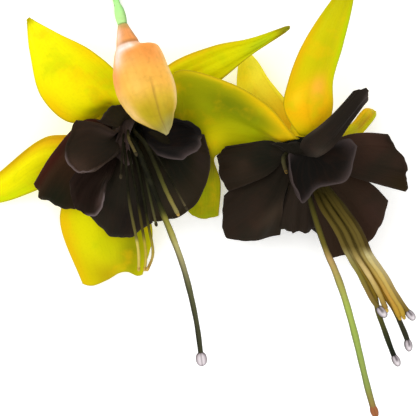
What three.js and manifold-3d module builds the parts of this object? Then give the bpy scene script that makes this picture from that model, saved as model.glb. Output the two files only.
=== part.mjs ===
// A cut spray of a trailing double fuchsia, lying on a table: a length of stem with two open blooms and a
// bud on their stalks. Millimetres, +Z up. The flowers hang towards -Y, and the stem lies across the +Y end.
import * as THREE from 'three';
import { mergeVertices } from 'three/addons/utils/BufferGeometryUtils.js';
import Module from 'manifold-3d';

const wasm = await Module();
wasm.setup();

// ---------------------------------------------------------------- driving dimensions, mm
const originShift = [4.43, -7.87, 0]; // moves the origin to the middle of the spray's footprint
const petalThickness = 0.8;
const sepalThickness = 1.0;
const clearance = 0.3; // between pieces that touch in the flower
const tubeLength = 9;
const mouthRadius = 4.3; // of the floral tube, where the sepals spread
const neckRadius = 2.2; // of the floral tube, where it meets the ovary
const collar = { inner: 2.5, outer: 4.1, height: 3.2 }; // ring that the petals grow from
const stamenRing = { inner: 0.9, outer: 1.9, height: 2.4 };
const filamentRadius = 0.42;
const anther = { length: 2.4, radius: 0.95 };
const styleRadius = 0.5;
const stigma = { length: 3.4, radius: 1.2 };
const ovary = { length: 5.2, radius: 1.55 };
const stalkRadius = 0.75;
const stemRadius = 1.6;

const petalGrid = { rows: 7, columns: 8 };
const sepalGrid = { rows: 9, columns: 5 };

const colours = {
  sepal: 0xe6dc08,
  petal: 0x1d1316,
  filament: 0x9c9430,
  style: 0x9aa050,
  bud: 0xf5a850,
  stalk: 0x9ad884,
  stem: 0x8a9a4e,
};

const vec = (p) => new THREE.Vector3(...p);
const smooth = (x) => THREE.MathUtils.smoothstep(x, 0, 1);
const smoothLine = (points) => new THREE.CatmullRomCurve3(points, false, 'centripetal');

// ---------------------------------------------------------------- closed solids
// A thin blade of even thickness round a surface(u, t), with u from root to tip and t from -1 to 1 across.
// Both faces are split into the same triangles.
function closedSheet(surface, thickness, { rows, columns }) {
  const upper = [];
  const lower = [];
  const step = 1e-3;
  for (let i = 0; i <= rows; i++) {
    for (let j = 0; j <= columns; j++) {
      const u = i / rows;
      const t = (2 * j) / columns - 1;
      const middle = surface(u, t);
      const along = surface(Math.min(u + step, 1), t).sub(surface(Math.max(u - step, 0), t));
      const across = surface(u, Math.min(t + step, 1)).sub(surface(u, Math.max(t - step, -1)));
      const normal = across.cross(along).normalize().multiplyScalar(thickness / 2);
      upper.push(middle.clone().add(normal));
      lower.push(middle.clone().sub(normal));
    }
  }
  const back = upper.length;
  const at = (i, j) => i * (columns + 1) + j;
  const index = [];
  const wall = (a, b) => index.push(a, a + back, b + back, a, b + back, b);
  for (let i = 0; i < rows; i++) {
    for (let j = 0; j < columns; j++) {
      const [a, b, c, d] = [at(i, j), at(i, j + 1), at(i + 1, j + 1), at(i + 1, j)];
      index.push(a, b, c, a, c, d);
      index.push(a + back, c + back, b + back, a + back, d + back, c + back);
    }
  }
  for (let j = 0; j < columns; j++) {
    wall(at(0, j), at(0, j + 1));
    wall(at(rows, j + 1), at(rows, j));
  }
  for (let i = 0; i < rows; i++) {
    wall(at(i + 1, 0), at(i, 0));
    wall(at(i, columns), at(i + 1, columns));
  }
  return new THREE.BufferGeometry().setFromPoints([...upper, ...lower]).setIndex(index);
}

// A round stalk along a smooth line through points. radius(u, angle) may swell or flute it; stations are the
// places along it, from 0 to 1, that get a ring of vertices.
function stalkSolid(points, radius, sides, stations) {
  const curve = smoothLine(points);
  const fine = 200;
  const frames = curve.computeFrenetFrames(fine, false);
  const vertices = [];
  for (const u of stations) {
    const centre = curve.getPointAt(u);
    const k = Math.round(u * fine);
    for (let s = 0; s < sides; s++) {
      const angle = (2 * Math.PI * s) / sides;
      const r = radius(u, angle);
      const outward = frames.normals[k].clone().multiplyScalar(r * Math.cos(angle));
      outward.addScaledVector(frames.binormals[k], r * Math.sin(angle));
      vertices.push(centre.clone().add(outward));
    }
  }
  const first = vertices.push(curve.getPointAt(stations[0])) - 1;
  const last = vertices.push(curve.getPointAt(stations[stations.length - 1])) - 1;
  const end = (stations.length - 1) * sides;
  const index = [];
  for (let s = 0; s < sides; s++) {
    const next = (s + 1) % sides;
    for (let k = 0; k < end; k += sides) {
      index.push(k + s, k + next, k + sides + next, k + s, k + sides + next, k + sides + s);
    }
    index.push(first, next, s, last, end + s, end + next);
  }
  return new THREE.BufferGeometry().setFromPoints(vertices).setIndex(index);
}

const evenStations = (count, end = 1) => Array.from({ length: count + 1 }, (_, i) => (i / count) * end);

// A thread with a swelling of the given length and radius at its far end.
function threadSolid(points, radius, swelling, sides, count) {
  const start = 1 - swelling.length / smoothLine(points).getLength();
  const radiusAt = (u) => {
    const k = (u - start) / (1 - start);
    if (k <= 0) return radius;
    return Math.max(radius * 0.6, swelling.radius * Math.sqrt(Math.max(0, 1 - Math.pow(2 * k - 1, 2))));
  };
  const stations = evenStations(count, start * 0.995);
  for (const k of [0.12, 0.5, 0.88, 1]) stations.push(start + (1 - start) * k);
  return stalkSolid(points, radiusAt, sides, stations);
}

// A turned solid: profile pairs of [radius, distance], from the mouth along the bloom's axis.
function turned(profile, sides, mouth, axis) {
  const outline = profile.map(([r, w]) => new THREE.Vector2(r, w));
  const turn = new THREE.Quaternion().setFromUnitVectors(new THREE.Vector3(0, 1, 0), axis);
  return new THREE.LatheGeometry(outline, sides).applyQuaternion(turn).translate(...mouth.toArray());
}

const ringProfile = ({ inner, outer, height }) => [
  [inner, clearance],
  [outer, clearance],
  [outer, height],
  [inner, height],
  [inner, clearance],
];

function solidOf(geometry) {
  const bare = new THREE.BufferGeometry().setAttribute('position', geometry.getAttribute('position'));
  const merged = mergeVertices(bare.setIndex(geometry.index), 1e-4);
  const vertProperties = merged.attributes.position.array;
  const triVerts = new Uint32Array(merged.index.array);
  return new wasm.Manifold(new wasm.Mesh({ numProp: 3, vertProperties, triVerts }));
}

// Joins geometries into one body, cut flat where it presses on the table, and leaves out stray specks.
function fuse(geometries) {
  const table = solidOf(new THREE.BoxGeometry(200, 200, 10).translate(0, 0, -5));
  const joined = geometries.map(solidOf).reduce((a, b) => a.add(b));
  const bodies = joined.subtract(table).decompose();
  const mesh = bodies.reduce((a, b) => (a.volume() > b.volume() ? a : b)).getMesh();
  return new THREE.BufferGeometry()
    .setAttribute('position', new THREE.BufferAttribute(mesh.vertProperties, 3))
    .setIndex(new THREE.BufferAttribute(mesh.triVerts, 1));
}

// ---------------------------------------------------------------- blades
// Directions across a bloom's axis: angle 0 points to +X, and 90 degrees up from the table.
function spoke({ axis }, angle) {
  const right = new THREE.Vector3(1, 0, 0).addScaledVector(axis, -axis.x).normalize();
  const top = axis.clone().cross(right);
  return right.multiplyScalar(Math.cos(angle)).addScaledVector(top, Math.sin(angle));
}

function angleTo(bloom, point) {
  const out = vec(point).sub(bloom.mouth);
  return Math.atan2(out.dot(spoke(bloom, Math.PI / 2)), out.dot(spoke(bloom, 0)));
}

// Gives each rib of a blade its root: side by side on a circle round the bloom's axis, then a neck point.
// The middle of the root is at the angle from, or else on the side of the blade.
function rooted(bloom, ribs, { circle, depth, neck, spread }, from) {
  const angles = ribs.map((rib) => angleTo(bloom, rib[0]));
  const sum = (f) => angles.reduce((total, a) => total + f(a), 0);
  const centre = from ?? Math.atan2(sum(Math.sin), sum(Math.cos));
  const last = ribs.length - 1;
  const turn = Math.sign(Math.sin(angles[last] - centre) - Math.sin(angles[0] - centre));
  return ribs.map((rib, k) => {
    const out = spoke(bloom, centre + turn * spread * ((2 * k) / last - 1));
    const root = bloom.mouth.clone().addScaledVector(bloom.axis, depth).addScaledVector(out, circle);
    const second = root.clone().addScaledVector(bloom.axis, neck[0]).addScaledVector(out, neck[1]);
    return [root, second, ...rib.map(vec)];
  });
}

// The surface through the ribs of a blade, with waves along its margin.
function ribbedSurface(ribs, [waveHeight, waveCount, wavePhase] = [0, 0, 0]) {
  const lines = ribs.map(smoothLine);
  const end = (k) => ribs[k][ribs[k].length - 1].clone();
  const last = ribs.length - 1;
  const along = end(last).add(end(0)).multiplyScalar(0.5).sub(ribs[0][0]);
  const face = end(last).sub(end(0)).cross(along).normalize();
  return (u, t) => {
    const section = lines.map((line) => line.getPoint(u));
    const across = new THREE.CatmullRomCurve3(section, false, 'catmullrom', 0.5);
    const ripple = waveHeight * u * u * Math.sin(Math.PI * waveCount * t + wavePhase);
    return across.getPoint((t + 1) / 2).addScaledVector(face, ripple);
  };
}

// A sepal's ribs run together at its tip, which is a little blunt.
function pointed(ribs, tip, bluntness) {
  const end = (k) => vec(ribs[k][ribs[k].length - 1]);
  const last = ribs.length - 1;
  const side = end(last).sub(end(0)).normalize();
  const tipPoint = (k) => vec(tip).addScaledVector(side, bluntness * ((2 * k) / last - 1));
  return ribs.map((rib, k) => [...rib, tipPoint(k).toArray()]);
}

function calyx(bloom) {
  const tube = turned(
    [
      [0, -tubeLength],
      [neckRadius, -tubeLength],
      [neckRadius + 0.3, -tubeLength * 0.7],
      [3.3, -tubeLength * 0.35],
      [mouthRadius - 0.3, -1.2],
      [mouthRadius, 0],
      [0, 0],
    ],
    16,
    bloom.mouth,
    bloom.axis,
  );
  const root = { circle: 2.8, depth: -1.1, neck: [0, 2.4], spread: 0.72 };
  const sepals = bloom.sepals.map(({ ribs, tip, from }) => {
    const whole = tip ? pointed(ribs, tip, 0.4) : ribs;
    return closedSheet(ribbedSurface(rooted(bloom, whole, root, from)), sepalThickness, sepalGrid);
  });
  return fuse([tube, ...sepals]);
}

function corolla(bloom) {
  const ring = turned(ringProfile(collar), 16, bloom.mouth, bloom.axis);
  const petals = bloom.petals.map(({ ribs, wave, from }, k) => {
    const root = { circle: 3.1 + 0.1 * (k % 3), depth: 1.2 + 0.2 * (k % 4), neck: [2.2, 0.6], spread: 0.6 };
    return closedSheet(ribbedSurface(rooted(bloom, ribs, root, from), wave), petalThickness, petalGrid);
  });
  return fuse([ring, ...petals]);
}

// Filaments from a ring round the style, spaced evenly from angle 0, each with its anther at the end.
function stamens(bloom) {
  const ring = turned(ringProfile(stamenRing), 12, bloom.mouth, bloom.axis);
  const threads = bloom.filaments.map((path, k) => {
    const out = spoke(bloom, (2 * Math.PI * k) / bloom.filaments.length);
    const root = bloom.mouth.clone().addScaledVector(bloom.axis, 1.3).addScaledVector(out, 1.4);
    const second = root.clone().addScaledVector(bloom.axis, 3);
    return threadSolid([root, second, ...path.map(vec)], filamentRadius, anther, 6, 9);
  });
  return fuse([ring, ...threads]);
}

function pistil(bloom) {
  const root = bloom.mouth.clone().addScaledVector(bloom.axis, clearance);
  const straight = bloom.mouth.clone().addScaledVector(bloom.axis, 5);
  return threadSolid([root, straight, ...bloom.style.map(vec)], styleRadius, stigma, 8, 16);
}

// A stalk along path, ending in the ovary just behind a tube whose end and direction are given.
function stalkWithOvary(path, tubeEnd, direction) {
  const ovaryEnd = tubeEnd.clone().addScaledVector(direction, -clearance);
  const ovaryStart = ovaryEnd.clone().addScaledVector(direction, -ovary.length);
  const points = [...path.map(vec), ovaryStart, ovaryEnd];
  const start = 1 - ovary.length / smoothLine(points).getLength();
  const radius = (u) => {
    const k = Math.max(0, (u - start) / (1 - start));
    const swell = Math.pow(Math.sin(Math.PI * Math.min(k * 0.82, 1)), 0.8);
    return stalkRadius + (ovary.radius - stalkRadius) * swell;
  };
  const stations = evenStations(8, start * 0.995);
  for (const k of [0.15, 0.35, 0.6, 0.85, 1]) stations.push(start + (1 - start) * k);
  return stalkSolid(points, radius, 8, stations);
}

// ---------------------------------------------------------------- the left bloom
// Each blade is given by ribs, from one side of it to the other, as points from near the mouth to the margin.
const leftBloom = {
  mouth: vec([-19, 22.5, 13]),
  axis: vec([-0.08, -0.8, 0.6]).normalize(),
  sepals: [
    {
      ribs: [
        [[-31, 21.5, 15], [-39.5, 28, 16], [-43.5, 37.5, 13]],
        [[-27.5, 26.5, 17], [-35.5, 34.5, 17], [-40.5, 41, 13]],
        [[-22, 31, 15], [-28.5, 38.5, 15], [-36.5, 43, 12]],
      ],
      tip: [-44.5, 47, 7],
    },
    {
      ribs: [
        [[-31.5, 18.5, 12], [-40, 17.5, 9], [-50.5, 10, 5]],
        [[-31.5, 14, 11], [-41.5, 12, 9], [-51.5, 5, 5]],
        [[-30.5, 10, 9], [-40.5, 5, 6], [-51.5, 1, 3]],
      ],
      tip: [-59, 2, 0.3],
    },
    {
      ribs: [
        [[-34, 4.5, 7], [-37, -3, 5], [-30, -18.5, 0.3]],
        [[-28, 3, 8], [-28, -8, 6], [-25, -17, 0.8]],
        [[-21.5, 2, 8], [-20.5, -8, 5.5], [-20.5, -15.5, 0.8]],
        [[-15.5, 3, 7], [-13, -6.5, 5], [-16.5, -17, 0.3]],
      ],
    },
    {
      ribs: [
        [[-12, 30, 12], [-2, 38.5, 10], [11.5, 41, 11]],
        [[-10.5, 27, 11], [0.5, 34.5, 9.5], [11.5, 39.5, 12]],
        [[-10, 24.5, 10], [1.5, 30.5, 8.5], [11, 37.5, 11]],
      ],
      tip: [20, 45.5, 14],
    },
  ],
  petals: [
    {
      ribs: [
        [[-30, 21.5, 18], [-38, 13.5, 15], [-43, 5, 11]],
        [[-28.5, 15.5, 17], [-36, 8, 13], [-40.5, 2, 10]],
        [[-25, 10.5, 15], [-30, 4.5, 11], [-32, 0, 9]],
      ],
      wave: [0.5, 2, 0.5],
    },
    {
      ribs: [
        [[-24, 23, 21], [-28, 23, 22], [-32, 21.5, 23]],
        [[-26, 19, 20], [-30, 17, 22], [-34, 15, 25]],
        [[-24, 14, 20], [-28, 10, 22], [-32, 8.5, 25]],
        [[-21.5, 13, 21], [-25, 10, 23], [-27, 9, 25]],
      ],
      wave: [0.3, 2, 2],
    },
    {
      ribs: [
        [[-25, 8, 16], [-28, 3, 13], [-29.5, -1.5, 10]],
        [[-19.5, 7, 17], [-20, 0, 13], [-21, -7.5, 8]],
        [[-14, 8, 17], [-13.5, 2, 13], [-13.5, -4.5, 9]],
      ],
      wave: [0.5, 2.4, 1.2],
    },
    {
      ribs: [
        [[-27.5, 10.5, 18], [-31, 9, 18], [-33, 7.5, 18]],
        [[-25, 9, 16], [-28, 4, 16], [-30, -1, 17]],
        [[-23.5, 9, 18], [-25, 6, 19], [-25.5, 3.5, 20]],
      ],
      wave: [0.3, 2, 0],
    },
    {
      ribs: [
        [[-16.5, 9, 19], [-16, 3, 15.5], [-14.5, -4, 10.5]],
        [[-10, 10, 18], [-6.5, 3.5, 14], [-4, -1.5, 9]],
        [[-7, 14, 17], [-3, 12, 14], [0.5, 10, 11]],
      ],
      wave: [0.5, 2.2, 2.5],
    },
    {
      ribs: [
        [[-12, 21.5, 17], [-9, 22, 18], [-5.5, 21.5, 19]],
        [[-9.5, 19, 15], [-5, 19.5, 16.5], [-0.5, 18.5, 20]],
        [[-10.5, 15.5, 16.5], [-6, 15, 18], [-1, 14.5, 23]],
        [[-13.5, 14, 20], [-10.5, 12.5, 22], [-6.5, 11.5, 24]],
      ],
      wave: [0.2, 2, 0.8],
    },
    {
      ribs: [
        [[-22.5, 21.5, 20], [-25, 22, 21], [-26.5, 22, 21]],
        [[-20, 23, 20], [-21, 24.5, 20], [-21.5, 25.5, 20]],
        [[-16.5, 23.5, 18], [-15.5, 25, 18], [-15, 25.5, 17]],
      ],
      wave: [0.3, 2, 0],
    },
  ],
  filaments: [
    [[-14, 14.5, 20.8], [-11, 10.5, 21.8], [-8, 5, 21.5], [-5, -0.5, 19]],
    [[-14.8, 15, 22.8], [-12.5, 10, 23.2], [-10, 4, 22.5], [-7, -2, 20]],
    [[-19, 16.5, 23], [-18, 14.5, 25], [-16.5, 11.5, 26]],
    [[-20.5, 15, 22], [-20.5, 10, 23.5], [-21, 5, 22.5]],
    [[-19.8, 11.5, 21.5], [-19, 1.5, 19.5], [-17, -10.5, 13.5], [-17, -15.5, 11]],
    [[-18.5, 10.5, 20.5], [-16.5, -1.5, 18], [-15.2, -11.5, 13], [-15.5, -15.5, 11.5]],
    [[-17, 10.5, 20], [-14.5, -4, 17], [-13.5, -11.5, 13], [-15, -15.5, 12]],
    [[-16, 12.5, 20.5], [-14.5, 5, 20], [-12.5, -4.5, 16]],
  ],
  style: [
    [-16.7, 13.5, 22], [-13.5, 5.5, 21.8], [-11, -1, 20], [-8.5, -6.5, 17.5], [-5.5, -15, 14], [-2.5, -27.5, 9.5],
    [-1.5, -37, 7.5],
  ],
};

// ---------------------------------------------------------------- the right bloom
const rightBloom = {
  mouth: vec([23, 16, 19]),
  axis: vec([-0.08, -0.98, 0.17]).normalize(),
  sepals: [
    {
      ribs: [
        [[14.5, 24.5, 17], [5, 29.5, 15], [-8, 33, 14], [-8.5, 21.5, 11.5], [-3.5, -1, 0.4]],
        [[12, 20, 17], [4, 23, 15], [-2, 20.5, 12.5], [-2, 10.5, 8], [-1, -2, 0.3]],
        [[14, 15.5, 15], [7, 15, 13], [1.2, 12.5, 10.5], [2.3, 6.5, 7.5], [1.8, -2, 0.4]],
      ],
      from: 0.83 * Math.PI,
    },
    {
      ribs: [
        [[15, 22, 10], [8.5, 27, 6.5], [8, 35, 4]],
        [[18, 24, 10], [12.5, 32, 7], [10.5, 36.5, 4]],
        [[21, 25, 11], [16, 32, 7], [13.5, 37, 3]],
      ],
      tip: [9.5, 39.5, 2],
      from: -0.67 * Math.PI,
    },
    {
      ribs: [
        [[19, 24, 25], [20.5, 30.5, 26], [24, 39, 24], [29.5, 49, 19]],
        [[24, 24.5, 27], [25.5, 31.5, 27], [28, 39, 25], [32, 49, 20]],
        [[29.5, 24, 25], [29.5, 30.5, 25.5], [32, 39, 23.5], [34.5, 49, 19]],
      ],
      tip: [35.5, 56.5, 15],
      from: 0.36 * Math.PI,
    },
    {
      ribs: [
        [[31, 19, 14], [35.5, 20.5, 9], [39.5, 25, 5]],
        [[31, 16.5, 14], [36.5, 20, 9], [40.5, 24.5, 4]],
        [[31, 14, 12], [37, 18, 7], [42, 23.5, 4]],
      ],
      tip: [42, 25, 0.3],
      from: -0.17 * Math.PI,
    },
  ],
  petals: [
    {
      ribs: [
        [[15, 17, 20.5], [10, 16.3, 18], [6, 15, 15]],
        [[13, 13, 20], [8, 12, 17], [2.5, 11.5, 13]],
        [[15, 8.5, 19], [10, 6, 16], [4.5, 4, 12]],
      ],
      wave: [0.4, 2, 0.5],
      from: 0.8 * Math.PI,
    },
    {
      ribs: [
        [[13, 7, 18], [8, 4, 15], [3.5, 1, 12]],
        [[15.5, 3, 17], [10, -3, 13], [5, -7.5, 9]],
        [[18.5, 3, 16], [18, -2, 12], [17.5, -7, 8]],
      ],
      wave: [0.5, 2.2, 1.5],
    },
    {
      ribs: [
        [[19.5, 4.5, 15], [18, 0, 12], [17.5, -5, 9]],
        [[22.5, 4.5, 16], [22, -1, 13], [21.5, -6, 10]],
        [[25.5, 4.5, 15], [26, -1, 12.5], [26.5, -6, 10]],
      ],
      wave: [0.5, 3, 0],
    },
    {
      ribs: [
        [[25.5, 2, 14], [27.5, -5, 11], [29.5, -12, 8]],
        [[31, 3, 15], [35.5, -3.5, 12], [40, -9.5, 9]],
        [[33.5, 8, 15], [39, 4.5, 13], [44, 0.5, 11]],
      ],
      wave: [0.5, 2.2, 1],
    },
    {
      ribs: [
        [[33, 16.5, 18], [38, 18, 17], [43, 18, 16]],
        [[34.5, 13, 18], [41, 12, 17], [47.5, 10.5, 15]],
        [[33, 8.5, 17], [41, 6, 16], [48.5, 4, 14]],
      ],
      wave: [0.4, 2.2, 2],
      from: 0.1 * Math.PI,
    },
    {
      ribs: [
        [[19.5, 13, 24], [19, 10, 24.5], [19.5, 6, 25.5]],
        [[22.5, 10, 23.2], [22, 5, 23.6], [22.5, 1, 24.5]],
        [[28, 11, 22.8], [30, 8.5, 24], [32, 6.5, 27]],
        [[33, 15, 24], [34.5, 14.5, 25], [35.5, 13.5, 27]],
      ],
      wave: [0.2, 2, 0],
    },
    {
      ribs: [
        [[24, 18, 27.5], [27.5, 22, 28.5], [36, 28.5, 27.5]],
        [[27, 17.5, 29], [31.5, 20.5, 30], [38, 27, 29]],
        [[30, 14.5, 27], [34, 17.5, 27.5], [37.5, 23.5, 27]],
      ],
      wave: [0.2, 2, 0],
    },
    {
      ribs: [
        [[22.5, 7, 9], [23, 1, 5], [24, -4, 2]],
        [[27.5, 5.5, 8], [29, -1, 4], [30.5, -7.5, 0.3]],
        [[32.5, 7, 9], [36, 3, 6], [38.5, -1.5, 3]],
      ],
      wave: [0.4, 2, 1],
    },
    {
      ribs: [
        [[14, 9.5, 10], [10, 8, 7], [6.5, 7, 4]],
        [[15.5, 5.5, 9], [12, 2, 6], [9, -1.5, 3]],
        [[20, 4.5, 9], [19.5, 0, 6], [19, -3.5, 4]],
      ],
      wave: [0.4, 2, 1],
    },
  ],
  filaments: [
    [[25, 9.5, 20], [29.5, 4.5, 20.3], [35, -3, 19], [40.5, -10, 17], [46.5, -19.5, 14], [49.5, -25.5, 12]],
    [[29, 4.5, 21.2], [34.5, -3, 20], [39.5, -10, 18], [47, -20.5, 14.5], [50, -25.5, 13]],
    [[28.5, 4.5, 21.5], [33.5, -3.5, 20.3], [38, -10, 18.3], [48, -24, 14], [50, -27, 13.5]],
    [[24, 9, 21.6], [27.5, 4.5, 21], [32.5, -4, 19.6], [37.5, -11.5, 17.6], [47, -28.5, 12.5], [49, -34.5, 11]],
    [[20.3, 10.8, 21.2], [18.8, 10, 22.5], [18.2, 9, 22.3]],
    [[23.5, 10.5, 18.3], [26.5, 4.5, 19.8], [30.5, -4, 19], [35, -11, 17], [41.5, -23.5, 13], [42.5, -25.5, 12.5]],
    [[23.9, 9.5, 18.2], [27, 4, 18.7], [31.5, -4.5, 18], [36.5, -12, 16.5], [41.5, -24.5, 13], [46.5, -38, 10]],
    [[24.3, 9.5, 18.4], [28, 4, 19.2], [33, -5, 17.5], [37.5, -13, 15]],
  ],
  style: [
    [22.9, 9.5, 20], [24, 4.5, 19.7], [26, -2.5, 17.8], [29, -10.5, 15], [32.5, -18.5, 12.5], [35.5, -30, 9.5],
    [39.5, -46.5, 6], [41.5, -51.5, 5],
  ],
};

// ---------------------------------------------------------------- the bud
const bud = {
  line: [[-20.9, 43.8, 25], [-18.9, 39.3, 26.5], [-14, 28.5, 29], [-9, 17.3, 30]].map(vec),
  tubeShare: 0.17,
  radius: 7.6,
  tubeRadius: 2.4,
  seams: 4,
  seamDepth: 0.5,
};

function budSolid() {
  const radius = (u, angle) => {
    if (u < bud.tubeShare) return 1.7 + (bud.tubeRadius - 1.7) * smooth(u / bud.tubeShare);
    const k = (u - bud.tubeShare) / (1 - bud.tubeShare);
    const shoulder = Math.pow(Math.sin(Math.PI * Math.min(0.5, Math.pow(k, 0.75))), 0.55);
    const taper = Math.pow(Math.sin(Math.PI * Math.max(0.5, Math.pow(k, 0.75))), 0.85);
    const body = bud.radius * shoulder * taper;
    const seam = Math.pow(Math.abs(Math.cos((bud.seams / 2) * angle)), 12) * bud.seamDepth;
    return Math.max(0.3, Math.max(bud.tubeRadius * (1 - k * 2), body) - seam * Math.sin(Math.PI * k));
  };
  const stations = [0, 0.08, 0.15, 0.18, 0.21, 0.26, 0.33, 0.42, 0.52, 0.62, 0.72, 0.81, 0.89, 0.95, 0.985, 1];
  return stalkSolid(bud.line, radius, 24, stations);
}

// ---------------------------------------------------------------- the stem
const stemLine = [[-36, 57, 1.4], [-24, 61, 3], [4, 65.5, 2.6], [36, 64.5, 3], [47, 61, 1.4]].map(vec);

function stemSolid() {
  const joint = (u, place) => 0.35 * Math.exp(-Math.pow((u - place) / 0.03, 2));
  const radius = (u) => stemRadius * (1 + joint(u, 0.15) + joint(u, 0.86));
  return fuse([stalkSolid(stemLine, radius, 10, evenStations(24))]);
}

// ---------------------------------------------------------------- assembly
const spray = new THREE.Group();

function addNode(name, geometry, color, roughness) {
  const mesh = new THREE.Mesh(geometry, new THREE.MeshStandardMaterial({ color, roughness, metalness: 0 }));
  mesh.name = name;
  spray.add(mesh);
}

function addBloom(side, bloom, stalkPath) {
  addNode(side + '_calyx', calyx(bloom), colours.sepal, 0.5);
  addNode(side + '_corolla', corolla(bloom), colours.petal, 0.6);
  addNode(side + '_stamens', stamens(bloom), colours.filament, 0.5);
  addNode(side + '_pistil', pistil(bloom), colours.style, 0.5);
  const tubeEnd = bloom.mouth.clone().addScaledVector(bloom.axis, -tubeLength);
  addNode(side + '_stalk', stalkWithOvary(stalkPath, tubeEnd, bloom.axis), colours.stalk, 0.5);
}

addBloom('left', leftBloom, [[-23.6, 58.6, 2], [-22.6, 50, 1.2], [-20, 42, 1.6]]);
addBloom('right', rightBloom, [[36.5, 62, 3.4], [33, 53, 5.5], [28, 42, 10]]);
addNode('bud', budSolid(), colours.bud, 0.5);
const budAxis = bud.line[1].clone().sub(bud.line[0]).normalize();
const budStalkPath = [[-24.2, 60, 5.6], [-23.6, 56, 13], [-23, 52, 19.5]];
addNode('bud_stalk', stalkWithOvary(budStalkPath, bud.line[0], budAxis), colours.stalk, 0.5);
addNode('stem', stemSolid(), colours.stem, 0.6);

spray.position.set(...originShift);

export default spray;
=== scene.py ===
import math
import bpy
import numpy as np
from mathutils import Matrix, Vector


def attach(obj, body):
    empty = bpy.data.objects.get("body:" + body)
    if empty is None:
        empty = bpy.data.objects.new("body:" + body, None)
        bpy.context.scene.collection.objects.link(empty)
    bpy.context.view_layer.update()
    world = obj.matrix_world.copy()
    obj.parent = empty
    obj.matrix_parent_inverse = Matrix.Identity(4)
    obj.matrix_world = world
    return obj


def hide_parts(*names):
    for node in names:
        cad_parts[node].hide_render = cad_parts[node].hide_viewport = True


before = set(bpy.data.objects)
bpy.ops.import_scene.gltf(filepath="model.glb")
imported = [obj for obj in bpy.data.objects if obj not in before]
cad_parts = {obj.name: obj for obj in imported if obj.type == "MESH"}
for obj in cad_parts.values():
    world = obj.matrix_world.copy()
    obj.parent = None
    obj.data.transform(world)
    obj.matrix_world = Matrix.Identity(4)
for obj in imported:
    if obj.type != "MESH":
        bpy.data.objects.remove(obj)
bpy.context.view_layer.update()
print("frame loaded:", len(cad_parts), "solids")

# A cut spray of a trailing double fuchsia, seen from straight above. Lengths are millimetres, measured from
# the middle of the picture, and toMetres moves them into the part's frame. Painted colours run from 0 to 255.
spray = {
    "middle": (4.43, -7.87, 0.0),  # the picture's middle in the part's frame
    "lowest": 0.03,                # nothing goes below this height over the table
    "clearance": 0.3,              # between a tube's end and what starts there
}


def toMetres(points):
    moved = np.asarray(points, float) + np.array(spray["middle"])
    moved[..., 2] = np.maximum(moved[..., 2], spray["lowest"])
    return moved * 1e-3


# curves and surfaces
def unit(v):
    v = np.asarray(v, float)
    return v / np.maximum(np.linalg.norm(v, axis=-1, keepdims=True), 1e-12)


def smooth(x):
    # a soft step from 0 to 1
    x = np.clip(x, 0, 1)
    return x * x * (3 - 2 * x)


def stretchAt(place, count):
    # which stretch between count points a place from 0 to 1 lies in, and how far along it
    at = min(max(place, 0.0), 1.0) * (count - 1)
    k = min(int(at), count - 2)
    return k, at - k


def neighbours(points, k):
    # the two ends of a stretch, with the points before and after them
    p1, p2 = points[k], points[k + 1]
    p0 = points[k - 1] if k > 0 else 2 * p1 - p2
    p3 = points[k + 2] if k + 2 < len(points) else 2 * p2 - p1
    return p0, p1, p2, p3


def between(p1, p2, m1, m2, w):
    # from p1 to p2, leaving with slope m1 and arriving with m2
    return p1 + m1 * w + (3 * (p2 - p1) - 2 * m1 - m2) * w**2 + (2 * (p1 - p2) + m1 + m2) * w**3


def alongCurve(points, places):
    # a centripetal curve through the points, at places from 0 to 1
    points = np.asarray(points, float)
    found = []
    for place in places:
        k, w = stretchAt(place, len(points))
        p0, p1, p2, p3 = neighbours(points, k)
        pairs = ((p0, p1), (p1, p2), (p2, p3))
        d0, d1, d2 = (max(math.sqrt(np.linalg.norm(b - a)), 1e-4) for a, b in pairs)
        m1 = ((p1 - p0) / d0 - (p2 - p0) / (d0 + d1) + (p2 - p1) / d1) * d1
        m2 = ((p2 - p1) / d1 - (p3 - p1) / (d1 + d2) + (p3 - p2) / d2) * d1
        found.append(between(p1, p2, m1, m2, w))
    return np.array(found)


def acrossWeights(count, places):
    # how much each of count ribs counts at places from 0 to 1 across a blade
    ribs = np.eye(count)
    rows = []
    for place in places:
        k, w = stretchAt(place, count)
        p0, p1, p2, p3 = neighbours(ribs, k)
        rows.append(between(p1, p2, 0.5 * (p2 - p0), 0.5 * (p3 - p1), w))
    return np.array(rows)


def runningLength(points):
    steps = np.linalg.norm(np.diff(points, axis=0), axis=1)
    return np.concatenate([[0], np.cumsum(steps)])


def curveLength(points):
    fine = alongCurve(points, np.linspace(0, 1, 200))
    return np.linalg.norm(np.diff(fine, axis=0), axis=1).sum()


def spoke(bloom, angle):
    # directions across a bloom's axis: angle 0 points to +X, and 90 degrees up from the table
    right = unit(np.array([1.0, 0, 0]) - bloom["axis"] * bloom["axis"][0])
    top = np.cross(bloom["axis"], right)
    return right * math.cos(angle) + top * math.sin(angle)


def rooted(bloom, ribs, root, start):
    # leads each rib out of the bloom's mouth, round the angle start or else round the ribs' own middle
    angles = []
    for rib in ribs:
        out = rib[0] - bloom["mouth"]
        angles.append(math.atan2(out @ spoke(bloom, math.pi / 2), out @ spoke(bloom, 0)))
    if start is None:
        start = math.atan2(sum(map(math.sin, angles)), sum(map(math.cos, angles)))
    turn = np.sign(math.sin(angles[-1] - start) - math.sin(angles[0] - start))
    whole = []
    for k, rib in enumerate(ribs):
        out = spoke(bloom, start + turn * root["spread"] * (2 * k / (len(ribs) - 1) - 1))
        base = bloom["mouth"] + bloom["axis"] * root["depth"] + out * root["circle"]
        neck = base + bloom["axis"] * root["neck"][0] + out * root["neck"][1]
        whole.append(np.vstack([base, neck, rib]))
    return whole


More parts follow.
